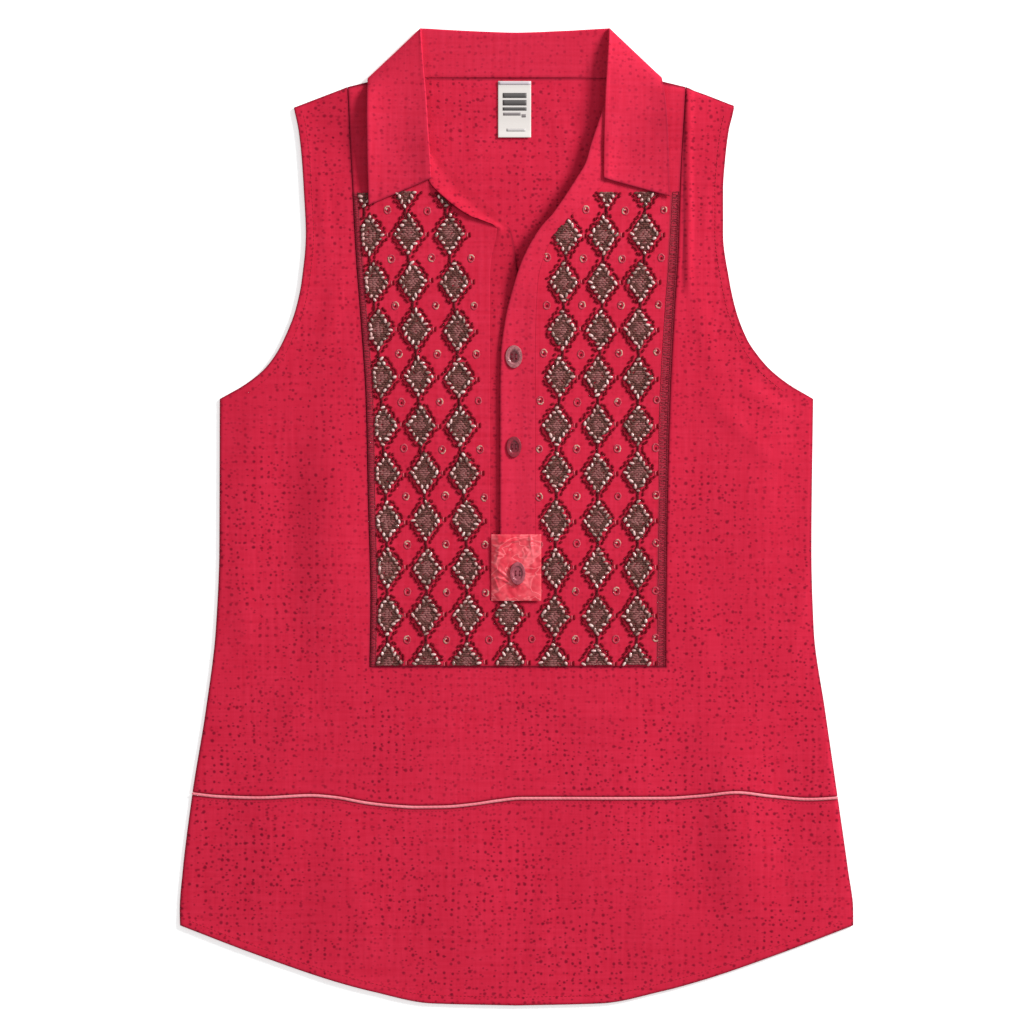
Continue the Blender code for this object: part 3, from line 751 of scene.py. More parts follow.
def lie_front_hem(x, y):
    lie = Lie(front_z(x, y) + CLOTH / 2 + front_swell(x, y))
    lie.join(to_side(x, y), meeting_z(x, y, True))
    lie.sew(to_piping(x, y))
    lie.pucker(to_piping(x, y), x)
    lie.turn_under(to_hem(x, y), x)
    return lie


def lie_back(x, y):
    lie = Lie(back_z(x, y) + CLOTH / 2 + back_swell(x, y))
    outer_edges(lie, x, y, False)
    lie.sew(to_piping(x, y) + BACK_PIPING_GAP)
    return lie


def lie_back_hem(x, y):
    lie = Lie(back_z(x, y) + CLOTH / 2 + back_swell(x, y))
    lie.join(to_side(x, y), meeting_z(x, y, False))
    lie.sew(to_piping(x, y) + BACK_PIPING_GAP)
    lie.turn_under(to_hem(x, y), x)
    return lie


def lie_bib(x, y):
    lie = Lie(bib_z(x, y) + CLOTH / 2 + front_swell(x, y))
    seams = min(x - seam_x(y, False), seam_x(y, True) - x, y - BIB_FOOT)
    lie.sew(max(seams, 0.0))
    lie.pucker(max(seams, 0.0), y)
    if y > UNDERARM:
        lie.join(max(SHOULDER_Y(abs(x)) - y, 0.0), meeting_z(x, y, True))
    if y > PLACKET_FOOT:
        lie.sew(abs(x - BIB_EDGE_X[x > MIDDLE_COLUMN](y)), 0.0)
    return lie


ONTO_BACK = (235.0, 242.0)
STRIP_FALL = (0.04, 0.62)
STRIP_HALF = 0.06
STRIP_AIR = 0.04
FREE_DIP = 0.25
FREE_DIP_REACH = 2.5
SUNK = 0.3


def onto_back(y):
    """How far the under band's strip lies onto the back: fully along the neck."""
    return soft(ramp(y, *ONTO_BACK))


def insert_surface(x, y):
    """Height just under the top of the insert, where the bands' outer edges fade into it."""
    return bib_z(x, y) + CLOTH + front_swell(x, y) - SUNK


def under_outer_x(y):
    """Outer edge of the under band: over the insert's edge below the neck, and beside it above."""
    return BIB_EDGE_X[False](y) + lerp(-TAPER_REACH / 2, 0.1, onto_back(y))


def lie_under_band(x, y):
    """The band merges with the insert below the neck, and with the back along the neck."""
    lie = Lie(under_band_z(x, y) + CLOTH / 2 + front_swell(x, y), BAND_HALF)
    free_gap = abs(x - FREE_EDGE_X[False](y))
    outer_gap = abs(x - under_outer_x(y))
    along_neck = onto_back(y)
    width = free_gap + outer_gap
    down = soft(ramp(outer_gap / width, *STRIP_FALL)) * along_neck
    lie.z = lerp(lie.z, back_z(x, y) + CLOTH + back_swell(x, y) + STRIP_AIR, down)
    lie.half = lerp(lie.half, STRIP_HALF, down)
    lie.z -= FREE_DIP * ramp(-free_gap, -FREE_DIP_REACH, 0.0) * along_neck
    if along_neck < 0.5:
        lie.taper(outer_gap, insert_surface(x, y))
        lie.round_off(free_gap)
    else:
        near = 1 - ramp(outer_gap, 0.0, EDGE_ROUND)
        lie.half *= max(THINNEST, math.sqrt(1 - near ** 2))
    return lie


OVER_PUFF = 1.3
OVER_PUFF_REACH = 15.0
OVER_PUFF_SPAN = (-70.0, -30.0)
OVER_EDGE_SHADE = 0.5


def over_puff(x, y):
    """The over band's free edge stands up a little, down to the patch's foot."""
    gap = max(x - FREE_EDGE_X[True](y), 0.0)
    return OVER_PUFF * (1 - soft(ramp(gap, 0.0, OVER_PUFF_REACH))) * ramp(y, *OVER_PUFF_SPAN)


def lie_over_band(x, y):
    lie = Lie(over_band_z(x, y) + CLOTH / 2 + front_swell(x, y), BAND_HALF)
    free_gap = abs(x - FREE_EDGE_X[True](y))
    lie.z += over_puff(x, y)
    lie.pucker(free_gap, y)
    lie.round_off(free_gap)
    # less painted shade along the over band's free edge
    lie.edge *= OVER_EDGE_SHADE
    outer_gap = abs(x - BIB_EDGE_X[True](y) - TAPER_REACH / 2)
    lie.taper(outer_gap, insert_surface(x, y))
    return lie


# Meshes

def add_mesh(name, points, faces, finish, **values):
    """An object from points in millimetres, smooth, with a number at each point for each name."""
    mesh = bpy.data.meshes.new(name)
    mesh.from_pydata([(x * MM, y * MM, z * MM) for x, y, z in points], [], faces)
    mesh.materials.append(finish)
    mesh.shade_smooth()
    for key, numbers in values.items():
        mesh.attributes.new(key, "FLOAT", "POINT").data.foreach_set("value", numbers)
    made = bpy.data.objects.new(name, mesh)
    bpy.context.collection.objects.link(made)
    return made


def closed_wall(name, upper, lower, cells, finish, edge):
    """A closed wall between two grids of points, over the given (row, column) cells."""
    index = {}
    points = []
    edges = []

    def corner(layer, key):
        if (layer, key) not in index:
            index[layer, key] = len(points)
            points.append((upper if layer else lower)[key[0]][key[1]])
            edges.append(edge[key[0]][key[1]])
        return index[layer, key]

    faces = []
    borders = set()
    for i, j in cells:
        ring = [(i, j), (i + 1, j), (i + 1, j + 1), (i, j + 1)]
        faces.append([corner(1, key) for key in ring])
        faces.append([corner(0, key) for key in reversed(ring)])
        for side in zip(ring, ring[1:] + ring[:1]):
            if side[::-1] in borders:
                borders.remove(side[::-1])
            else:
                borders.add(side)
    for a, b in sorted(borders):
        faces.append([corner(1, b), corner(1, a), corner(0, a), corner(0, b)])
    # the edge attribute carries each point's share of painted shade
    return add_mesh(name, points, faces, finish, edge=edges)


def all_cells(plan):
    return [(i, j) for i in range(len(plan) - 1) for j in range(len(plan[0]) - 1)]


def panel(name, plan, lie, finish, cells=None):
    """A panel of cloth over a grid of (x, y) points."""
    upper = []
    lower = []
    edge = []
    for row in plan:
        lies = [lie(x, y) for x, y in row]
        upper.append([(x, y, at.z + at.half) for (x, y), at in zip(row, lies)])
        lower.append([(x, y, max(at.z - at.half, 0.0)) for (x, y), at in zip(row, lies)])
        edge.append([at.edge for at in lies])
    return closed_wall(name, upper, lower, cells or all_cells(plan), finish, edge)


# Spacing of the points: close at an edge, and even between
AT_EDGE = (0.0, 0.25, 0.7, 1.4, 2.4, 3.8, 6.0, 8.6)
AT_SEAM = (0.0, 0.3, 0.9, 1.8, 3.2)
PLAIN = (0.0,)


def spaced(start, end, near, far, count):
    """Values from start to end: near and far tables at the ends, and even between."""
    length = abs(end - start)
    inner = [lerp(near[-1], length - far[-1], k / count) for k in range(1, count)]
    distances = list(near) + inner + [length - d for d in reversed(far)]
    return [lerp(start, end, d / length) for d in distances]


def between(start, end, near, far, count):
    """Points on the line between two points, spaced the same way."""
    length = math.dist(start, end)
    shares = [d / length for d in spaced(0.0, length, near, far, count)]
    return [(lerp(start[0], end[0], s), lerp(start[1], end[1], s)) for s in shares]


# Cells across each part of a panel
SIDE_COUNT = 17
MIDDLE_COUNT = 66
BIB_COUNT = 24
OPENING_COUNT = 10
BACK_COUNT = 120
BAND_ROWS = 120
PIPING_CLEAR = PIPING_WIDTH / 2 + 0.1
PIPING_ENDS = [side_x(PIPING_Y(x), x > 0) for x in (-BUST_WIDTH / 2, BUST_WIDTH / 2)]


def front_row(seam, outer):
    """Points across the front at one row: left side, middle and right side."""
    left_in = (seam_x(seam, False) - SEAM / 3, seam)
    right_in = (seam_x(seam, True) + SEAM / 3, seam)
    left = between((side_x(outer, False), outer), left_in, AT_EDGE, AT_SEAM, SIDE_COUNT)
    right = between(right_in, (side_x(outer, True), outer), AT_SEAM, AT_EDGE, SIDE_COUNT)
    middle = between(left_in, right_in, AT_SEAM, AT_SEAM, MIDDLE_COUNT)[1:-1]
    return left + middle + right


def spread(row, ends):
    """The x of each point of a row, spread over the width between two new ends."""
    low, high = row[0][0], row[-1][0]
    return [lerp(ends[0], ends[1], (x - low) / (high - low)) for x, _ in row]


def moved_to_piping(row, offset):
    """The points of a row moved onto the piping line, with an offset in height."""
    return [(x, PIPING_Y(x) + offset) for x in spread(row, PIPING_ENDS)]


def fitted_to_sides(row):
    """The points of a row spread so that its ends lie on the side seams."""
    ends = [side_x(y, x > 0) for x, y in (row[0], row[-1])]
    return [(x, y) for x, (_, y) in zip(spread(row, ends), row)]


def rows_to_piping(row_of, top, near, count):
    """Rows that go over from level ones to the wave of the piping seam."""
    foot = PIPING_Y(0.0) + PIPING_CLEAR
    rows = []
    for y in spaced(top, foot, near, AT_SEAM, count):
        share = ramp(y, top, foot)
        level = row_of(y)
        last = moved_to_piping(level, PIPING_CLEAR)
        blend = share ** 3
        rows.append(fitted_to_sides([
            (lerp(a[0], b[0], blend), lerp(a[1], a[1] + b[1] - foot, blend))
            for a, b in zip(level, last)
        ]))
    return rows


def hem_rows(row, count):
    """Rows of the hem band, from just below the piping to the curved tail."""
    top = moved_to_piping(row, -PIPING_CLEAR)
    depth = PIPING_Y(0.0) - PIPING_CLEAR - TAIL
    rows = []
    for t in [s / depth for s in spaced(0.0, depth, AT_SEAM, AT_EDGE, count)]:
        sides = [side_x(lerp(top[end][1], HEM_CORNER, t), end == -1) for end in (0, -1)]
        rows.append([
            (x, lerp(PIPING_Y(x) - PIPING_CLEAR, hem_y(x), t)) for x in spread(top, sides)
        ])
    return rows


# Cloth pieces

def make_front(finish):
    """Front body round the insert, and its hem band."""
    heights = spaced(SLANT[0][0], UNDERARM, AT_SEAM, PLAIN, 70)
    heights += spaced(UNDERARM, BIB_FOOT - SEAM / 2, PLAIN, PLAIN, 60)[1:]
    plan = [front_row(seam, OUTER_Y(seam) if seam > UNDERARM else seam) for seam in heights]
    joined = len(plan) - 1
    plan += rows_to_piping(lambda y: front_row(y, y), BIB_FOOT - SEAM / 2, AT_SEAM, 30)[1:]
    side_cells = len(AT_EDGE) + SIDE_COUNT - 1 + len(AT_SEAM) - 1
    last = len(plan[0]) - 1
    cells = [
        (i, j) for i, j in all_cells(plan)
        if i >= joined or j < side_cells or j >= last - side_cells
    ]
    body = panel("front_body_cloth", plan, lie_front, finish, cells)
    row = front_row(PIPING_Y(0.0), PIPING_Y(0.0))
    hem = panel("front_hem_cloth", hem_rows(row, 44), lie_front_hem, finish)
    return body, hem


def back_row(outer, follow):
    """Points across the back, following the shoulder and neck by the given share."""
    places = spaced(side_x(outer, False), side_x(outer, True), AT_EDGE, AT_EDGE, BACK_COUNT)
    tip = ARMHOLE[0][0]
    return [(x, outer + (SHOULDER_Y(abs(x)) - tip) * follow) for x in places]


SHAPED_FROM = 269.0
LEVEL_TO = -124.0


def make_back(finish):
    """Back body and its hem band. The rows follow the shoulders above, and are level below."""
    tip = ARMHOLE[0][0]
    plan = []
    for outer in spaced(tip, UNDERARM, AT_SEAM, PLAIN, 66):
        plan.append(back_row(outer, ramp(outer, SHAPED_FROM, tip)))
    plan += [back_row(y, 0.0) for y in spaced(UNDERARM, LEVEL_TO, PLAIN, PLAIN, 50)[1:]]
    plan += rows_to_piping(lambda y: back_row(y, 0.0), LEVEL_TO, PLAIN, 26)[1:]
    body = panel("back_body_cloth", plan, lie_back, finish)
    hem = panel("back_hem_cloth", hem_rows(back_row(PIPING_Y(0.0), 0.0), 40), lie_back_hem, finish)
    return body, hem


def make_insert(finish):
    """The insert's cloth: two halves from the shoulders, joined below the placket."""
    joined_from = PLACKET_FOOT - 0.4
    heights = spaced(SLANT[0][0], joined_from, AT_SEAM, PLAIN, 128)
    joined = len(heights) - 1
    heights += spaced(joined_from, BIB_FOOT, PLAIN, AT_SEAM, 14)[1:]
    plan = []
    for seam in heights:
        neck = NECK_Y(seam)
        left_in = (BIB_EDGE_X[False](neck) - SEAM / 2, neck)
        right_in = (BIB_EDGE_X[True](neck) + SEAM / 2, neck)
        left_out = (seam_x(seam, False) + SEAM / 3, seam)
        right_out = (seam_x(seam, True) - SEAM / 3, seam)
        left = between(left_out, left_in, AT_SEAM, AT_SEAM, BIB_COUNT)
        middle = between(left_in, right_in, PLAIN, PLAIN, OPENING_COUNT)[1:-1]
        right = between(right_in, right_out, AT_SEAM, AT_SEAM, BIB_COUNT)
        plan.append(left + middle + right)
    left_cells = 2 * len(AT_SEAM) + BIB_COUNT - 2
    right_start = left_cells + OPENING_COUNT
    cells = [
        (i, j) for i, j in all_cells(plan)
        if i >= joined or j < left_cells or j >= right_start
    ]
    return panel("insert_cloth", plan, lie_bib, finish, cells)


ACROSS_BAND = (0.0, 0.02, 0.06, 0.14, 0.25, 0.4, 0.5, 0.6, 0.75, 0.86, 0.94, 0.98, 1.0)


def make_bands(under_finish, over_finish):
    """Two bands of the placket, each cut in one with its strip along the neck."""
    made = []
    for name, right, lie, finish in (
        ("under_band_cloth", False, lie_under_band, under_finish),
        ("over_band_cloth", True, lie_over_band, over_finish),
    ):
        plan = []
        for y in spaced(BAND_TOP[right], PLACKET_FOOT, PLAIN, PLAIN, BAND_ROWS):
            outer = BIB_EDGE_X[True](y) + TAPER_REACH / 2 if right else under_outer_x(y)
            free = FREE_EDGE_X[right](y)
            low, high = (free, outer) if right else (outer, free)
            plan.append([(lerp(low, high, share), y) for share in ACROSS_BAND])
        made.append(panel(name, plan, lie, finish))
    return made


# Collar

def towards(start, end):
    """Unit vector in plan from one point to another."""
    gap = math.dist(start, end)
    return ((end[0] - start[0]) / gap, (end[1] - start[1]) / gap)


def front_top(x, y):
    """Top of the front where the collar lies on it."""
    return bib_z(x, y) + CLOTH


def collar_section(station):
    """Points across the collar from its neck seam over the roll to its outer edge."""
    sewn_x, sewn_y, crest_x, crest_y, edge_x, edge_y, layer, rise, flare = station
    seam = (sewn_x, sewn_y)
    crest = (crest_x, crest_y)
    edge = (edge_x, edge_y)
    clear = SEAM + COLLAR_CLOTH / 2 + LEAF_AIR
    to_seam = towards(crest, seam)
    to_edge = towards(crest, edge)
    hidden = (crest_x + to_edge[0] * FOOT_UNDER, crest_y + to_edge[1] * FOOT_UNDER)
    open_foot = (sewn_x, sewn_y + SEAM_LIFT * (1 - layer))
    tucked = soft(layer)
    foot = (lerp(open_foot[0], hidden[0], tucked), lerp(open_foot[1], hidden[1], tucked))
    wall_middle = back_z(*seam) + CLOTH / 2
    under = front_top(*hidden) + UNDER_AIR
    crest_under = front_top(crest_x, crest_y) + UNDER_AIR
    points = []
    for share, low, high in (
        (0.0, wall_middle, under),
        (0.3 * layer, wall_middle + 0.05, under),
        (lerp(0.5, 0.85, layer), STAND_HEIGHT, crest_under),
    ):
        x = lerp(foot[0], crest_x, share)
        y = lerp(foot[1], crest_y, share)
        points.append((x, y, lerp(low, high, layer)))
    for (share, up), (shift, kept) in zip(ARC, ROLL):
        way = to_seam if shift > 0 else to_edge
        reach = lerp(share * FOLD_RADIUS, abs(shift), layer)
        x = crest_x + way[0] * reach
        y = crest_y + way[1] * reach
        low = FALL_MIDDLE + FOLD_RADIUS * (1 + up)
        high = front_top(crest_x, crest_y) + clear + rise * kept
        points.append((x, y, lerp(low, high, layer)))
    for share, kept, lifted in LEAF:
        x = lerp(crest_x, edge_x, share)
        y = lerp(crest_y, edge_y, share)
        high = front_top(x, y) + clear + rise * kept + flare * lifted
        points.append((x, y, lerp(FALL_MIDDLE, high, layer)))
    return points


class CollarForm:
    """The collar's middle surface, over u along its stations and v across a section."""

    def __init__(self):
        stations = list(COLLAR_LEFT) + [COLLAR_MIDDLE] + list(COLLAR_RIGHT[::-1])
        sections = [collar_section(station) for station in stations]
        self.last_u = len(sections) - 1
        self.last_v = len(sections[0]) - 1
        self.tracks = []
        for v in range(self.last_v + 1):
            rows = [(float(u), *section[v]) for u, section in enumerate(sections)]
            self.tracks.append([curve(rows, axis) for axis in (1, 2, 3)])

    def section(self, u):
        """The section at u as a function of v."""
        rows = [(float(v), *(axis(u) for axis in track)) for v, track in enumerate(self.tracks)]
        axes = [curve(rows, axis) for axis in (1, 2, 3)]
        return lambda v: Vector([axis(v) for axis in axes])


def close_at_ends(last, step, ends):
    """Places from 0 to last at an even step, with some more beside each end."""
    inner = [k * step for k in range(1, round(last / step))]
    inner = [place for place in inner if ends[-1] < place < last - ends[-1]]
    return list(ends) + inner + [last - e for e in reversed(ends)]


STATION_STEP = 0.125
ACROSS_STEP = 0.25
AT_COLLAR_END = (0.0, 0.012, 0.035, 0.08, 0.16, 0.3)
AT_COLLAR_EDGE = (0.75, 0.5, 0.3, 0.16, 0.08, 0.035, 0.012, 0.0)
COLLAR_ROUND = 0.05
COLLAR_WAVE = 0.12
COLLAR_WAVE_REACH = 4.0


def make_collar(finish):
    """One surface from the left front end round the neck to the right front end."""
    form = CollarForm()
    places_u = close_at_ends(form.last_u, STATION_STEP, AT_COLLAR_END)
    inner = round((form.last_v - AT_COLLAR_EDGE[0]) / ACROSS_STEP)
    places_v = [k * ACROSS_STEP for k in range(inner)]
    places_v += [form.last_v - d for d in AT_COLLAR_EDGE]
    grid = []
    for u in places_u:
        section = form.section(u)
        grid.append([section(v) for v in places_v])
    rows = len(grid)
    columns = len(grid[0])
    upper = []
    lower = []
    edge = []
    for i in range(rows):
        upper.append([])
        lower.append([])
        edge.append([])
        for j in range(columns):
            point = grid[i][j]
            along = grid[min(i + 1, rows - 1)][j] - grid[max(i - 1, 0)][j]
            across = grid[i][min(j + 1, columns - 1)] - grid[i][max(j - 1, 0)]
            normal = along.cross(across).normalized()
            gap = min(
                (point - grid[i][-1]).length,
                (point - grid[0][j]).length,
                (point - grid[-1][j]).length,
            )
            lie = Lie(0.0, COLLAR_CLOTH / 2 - COLLAR_ROUND)
            lie.round_off(gap)
            wave = COLLAR_WAVE * ripple(point.x, point.y, size=13.0, seed=21.0)
            wave *= ramp(gap, 0.0, COLLAR_WAVE_REACH)
            for side, way in ((upper, lie.half + wave), (lower, wave - lie.half)):
                moved = point + normal * way
                moved.z = max(moved.z, 0.0)
                side[-1].append(tuple(moved))
            edge[-1].append(lie.edge)
    return closed_wall("collar_cloth", upper, lower, all_cells(grid), finish, edge)


# Piping, label and patch

AT_PIPING_END = (0.0, 0.4, 1.0, 2.0)
PIPING_END_ROUND = 1.1
PIPING_END_SIZE = 0.35
PIPING_FLAT = -0.75


def make_piping(name, base, finish):
    """A round cord along the hem band's seam, flat beneath."""
    height = PIPING_HEIGHT[name]
    start, end = PIPING_ENDS
    sides = 12
    centres = []
    for x in spaced(start, end, AT_PIPING_END, AT_PIPING_END, 170):
        rounded = math.sqrt(ramp(min(x - start, end - x), 0.0, PIPING_END_ROUND))
        z = base(x, PIPING_Y(x))
        centres.append((x, PIPING_Y(x), z, max(PIPING_END_SIZE, rounded)))
    points = []
    for x, y, z, size in centres:
        for k in range(sides):
            turn = math.tau * k / sides
            across = math.cos(turn) * PIPING_WIDTH / 2
            up = max(math.sin(turn), PIPING_FLAT) * height / 2
            points.append((x, y + across * size, z + height / 2 + up * size))
    faces = [list(range(sides))[::-1]]
    for i in range(len(centres) - 1):
        for k in range(sides):
            a = i * sides + k
            b = i * sides + (k + 1) % sides
            faces.append([a, b, b + sides, a + sides])
    faces.append([(len(centres) - 1) * sides + k for k in range(sides)])
    return add_mesh(name + "_cord", points, faces, finish)


LABEL_CURL = 0.7
LABEL_CURL_REACH = 9.0
LABEL_AIR = 0.35
LABEL_HALF = 0.24
LABEL_FOLD = 0.12
LABEL_FOLD_SPAN = (3.2, 4.2)
BAR_LIFT = 0.1
BAR_HALF = 0.08


def lie_label(x, y):
    """The label is turned under at its top and foot, and curls a little at its foot."""
    curl = LABEL_CURL * ramp(-y, -LABEL["foot"] - LABEL_CURL_REACH, -LABEL["foot"]) ** 2
    z = back_z(x, y) + back_swell(x, y) + CLOTH + LAY + LABEL_AIR + curl
    lie = Lie(z, LABEL_HALF)
    to_end = min(LABEL["top"] - y, y - LABEL["foot"])
    folded = LABEL_FOLD * (1 - soft(ramp(to_end, *LABEL_FOLD_SPAN)))
    lie.half += folded
    lie.z += folded
    lie.round_off(min(to_end, x - LABEL["left"], LABEL["right"] - x))
    return lie


def lie_label_bar(x, y):
    """The bars are woven in, so they stand only a thread above the label."""
    label = lie_label(x, y)
    return Lie(label.z + label.half + BAR_LIFT, BAR_HALF)


def make_label(finish, bar_finishes):
    """The label, without words: plain bars and lines woven into it."""
    xs = spaced(LABEL["left"], LABEL["right"], AT_SEAM, AT_SEAM, 14)
    ys = spaced(LABEL["top"], LABEL["foot"], AT_SEAM, AT_SEAM, 26)
    label = panel("label_cloth", [[(x, y) for x in xs] for y in ys], lie_label, finish)
    bars = []
    for k, (left, right, top, foot, kind) in enumerate(LABEL_BARS):
        places = spaced(left, right, PLAIN, PLAIN, 12)
        plan = [[(x, y) for x in places] for y in (top, (top + foot) / 2, foot)]
        bars.append(panel(f"label_bar_{k + 1}", plan, lie_label_bar, bar_finishes[kind]))
    return label, bars


PATCH_CREASES = (
    # centre x, centre y, reach along, reach across, lean in degrees, height
    (-13.0, -24.0, 13.0, 2.0, 38.0, 0.9),
    (-16.0, -34.0, 10.0, 1.6, 18.0, 0.8),
    (-6.0, -20.0, 14.0, 2.0, 82.0, 0.9),
    (4.0, -18.0, 11.0, 1.8, 70.0, 0.8),
    (12.0, -22.0, 12.0, 1.8, -8.0, 1.0),
    (9.0, -32.0, 8.0, 1.5, 34.0, 0.6),
    (-12.0, -46.0, 12.0, 1.8, -52.0, 0.9),
    (-8.0, -53.0, 13.0, 1.7, -66.0, 0.9),
    (2.0, -56.0, 12.0, 1.6, 78.0, 0.8),
    (-17.0, -54.0, 10.0, 1.6, -20.0, 0.8),
    (8.0, -51.0, 9.0, 1.6, 44.0, 0.7),
    (13.0, -42.0, 12.0, 2.2, 4.0, 0.5),
    (-4.0, -29.0, 7.0, 1.4, 58.0, 0.5),
)


PATCH_HALF = 0.2
PATCH_AIR = 0.3
PATCH_SAG = 0.4
PATCH_SEWN = 0.3
PATCH_SEWN_REACH = 2.5
QUIET = 0.6


def lie_patch(x, y):
    """The patch lies over the band, and comes down to the insert beside it. It is crumpled,
    and smoother round its button."""
    small = abs(ripple(x, y, size=4.2, seed=31.0)) * 0.6
    crumple = small + abs(ripple(x, y, size=8.5, seed=33.0)) * 0.7
    rough = 1 - QUIET * ramp(x, 2.0, 12.0) * ramp(-y, 34.0, 46.0)
    beside = soft(ramp(x, PATCH["left"], FREE_EDGE_X[True](y)))
    base = over_band_z(x, y) + over_puff(x, y) - (1 - beside) * (OVERLAP_RISE + PATCH_SAG)
    base += CLOTH + LAY + front_swell(x, y) + PATCH_AIR
    lie = Lie(base + (swellings(PATCH_CREASES, x, y) + crumple) * rough, PATCH_HALF)
    gap = min(x - PATCH["left"], PATCH["right"] - x, PATCH["top"] - y, y - PATCH["foot"])
    lie.z -= PATCH_SEWN * (1 - soft(ramp(gap, 0.0, PATCH_SEWN_REACH)))
    lie.round_off(gap)
    return lie


def make_patch(finish):
    """The small crinkled piece sewn over the foot of the placket."""
    xs = spaced(PATCH["left"], PATCH["right"], AT_SEAM, AT_SEAM, 52)
    ys = spaced(PATCH["top"], PATCH["foot"], AT_SEAM, AT_SEAM, 74)
    return panel("patch_satin", [[(x, y) for x in xs] for y in ys], lie_patch, finish)


# Small grains: beads, stitches and knots

BEAD = (7, ((-0.74, 0.68), (0.0, 1.0), (0.74, 0.68)))
STITCH = (5, ((-0.6, 0.85), (0.6, 0.85)))


def unit_grain(sides, rings):
    """Points and faces of one grain, 2 long and 2 across, from a point at each end over rings,
    each with its place along and its size."""
    points = [(-1.0, 0.0, 0.0)]
    for place, size in rings:
        for k in range(sides):
            turn = math.tau * k / sides
            points.append((place, size * math.cos(turn), size * math.sin(turn)))
    points.append((1.0, 0.0, 0.0))
    last = len(points) - 1
    top = 1 + (len(rings) - 1) * sides
    faces = []
    for k in range(sides):
        after = (k + 1) % sides
        faces.append([0, 1 + after, 1 + k])
        for ring in range(len(rings) - 1):
            a = 1 + ring * sides
            faces.append([a + k, a + after, a + sides + after, a + sides + k])
        faces.append([top + k, top + after, last])
    return np.array(points), faces


class Grains:
    """Many small grains that are joined into one mesh at the end."""

    def __init__(self, name, shape=STITCH):
        self.name = name
        self.shape = shape
        self.frames = []
        self.tints = []

    def add(self, top, x, y, turn, length, width, height, tint, lift):
        """A grain on the surface z = top(x, y), turned by an angle from +X. Its middle stands
        over the surface by a share of its height."""
        step = 1.0
        slope_x = (top(x + step, y) - top(x - step, y)) / (2 * step)
        slope_y = (top(x, y + step) - top(x, y - step)) / (2 * step)
        normal = Vector((-slope_x, -slope_y, 1.0)).normalized()
        along = Vector((math.cos(turn), math.sin(turn), 0.0))
        along.z = slope_x * along.x + slope_y * along.y
        along.normalize()
        across = normal.cross(along)
        centre = Vector((x, y, top(x, y))) + normal * (height * lift)
        self.frames.append((centre, along * length / 2, across * width / 2, normal * height / 2))
        self.tints.append(tint)

    def build(self, finish):
        unit, unit_faces = unit_grain(*self.shape)
        frames = np.array([[list(v) for v in row] for row in self.frames])
        points = frames[:, None, 0, :] + np.einsum("pk,nkc->npc", unit, frames[:, 1:, :])
        points = points.reshape(-1, 3)
        faces = []
        for n in range(len(frames)):
            start = n * len(unit)
            faces += [[start + k for k in face] for face in unit_faces]
        made = add_mesh(self.name, points, faces, finish)
        colours = np.repeat(np.array(self.tints), len(unit), axis=0)
        colours = np.concatenate([colours, np.ones((len(colours), 1))], axis=1)
        tint = made.data.color_attributes.new("tint", "FLOAT_COLOR", "POINT")
        tint.data.foreach_set("color", colours.astype(np.float32).ravel())
        return made


def linear(hex_colour):
    """An sRGB hex colour as linear red, green and blue."""
    channels = [int(hex_colour[k:k + 2], 16) / 255 for k in (1, 3, 5)]
    return [c / 12.92 if c <= 0.04045 else ((c + 0.055) / 1.055) ** 2.4 for c in channels]


def tint_between(chance, first, second):
    """A colour at random between two hex colours."""
    share = chance.random()
    return [lerp(a, b, share) for a, b in zip(linear(first), linear(second))]


# Embroidery

STITCHES = {
    # two colours, length, width, height, share of its height that its middle stands up
    "mauve": ("#86504F", "#9C6664", 2.9, 2.2, 0.7, 0.8),
    "brown": ("#5A3834", "#764A44", 2.9, 2.2, 0.7, 0.8),
    "maroon": ("#6C1420", "#84202C", 2.9, 2.2, 0.7, 0.8),
    "scallop": ("#6A0A18", "#861424", 3.3, 2.5, 0.7, 0.8),
    "link": ("#481016", "#681A22", 2.9, 2.5, 0.7, 0.8),
    "tie": ("#780A1A", "#8C1626", 4.8, 2.2, 0.7, 0.8),
    "pale_tie": ("#C24C5A", "#D0646C", 4.0, 1.2, 0.4, 0.5),
    "ring": ("#B83848", "#C05460", 2.7, 1.7, 0.35, 0.5),
    "pale_ring": ("#C08478", "#D09C8E", 2.7, 1.7, 0.35, 0.5),
    "knot": ("#6A0E1A", "#841A28", 2.3, 1.8, 0.6, 0.5),
    "small_bead": ("#C8988C", "#D8B0A4", 2.2, 1.5, 0.8, 0.5),
    "border_outer": ("#741C2A", "#8A2A38", 3.0, 0.85, 0.3, 0.5),
    "border_inner": ("#8E2C3A", "#A23E4A", 3.0, 0.85, 0.3, 0.5),
    "border_seam": ("#66141F", "#7A1E2A", 3.4, 1.0, 0.3, 0.5),
    "border_rim": ("#8A2634", "#9E3644", 3.4, 1.0, 0.3, 0.5),
}
BEAD_COLOURS = (
    ("#EACCC6", "#DAB0AC"),
    ("#E0B8B4", "#C89490"),
    ("#D09E9A", "#B07E7A"),
    ("#A8847C", "#8A6860"),
)

# Steps in millimetres, and chances as shares
FILL_STITCH = 2.9
FILL_OVERLAP = 1.0
GAP_CHANCE = 0.12
BEAD_CLEAR = 2.0
BEAD_HEIGHT = 0.8
LINK_STITCHES = 7
LINK_STEP = 1.6
TIE_REACH = 16.6
PALE_TIE_REACH = 14.3
RING_STITCHES = 10
PALE_STITCHES = 3
FAINT_CHANCE = 0.35
BORDER_START = 2.2
BORDER_STEP = (1.3, 2.0)
RIM_STEP = 2.9
OUTER_ROSETTE = (15.5, 1.5)
BESIDE_BANDS = (15.4, 14.2)


def top_of(lie):
    """The top surface of a panel, from the function that says how it lies."""
    def top(x, y):
        at = lie(x, y)
        return at.z + at.half
    return top


insert_top = top_of(lie_bib)


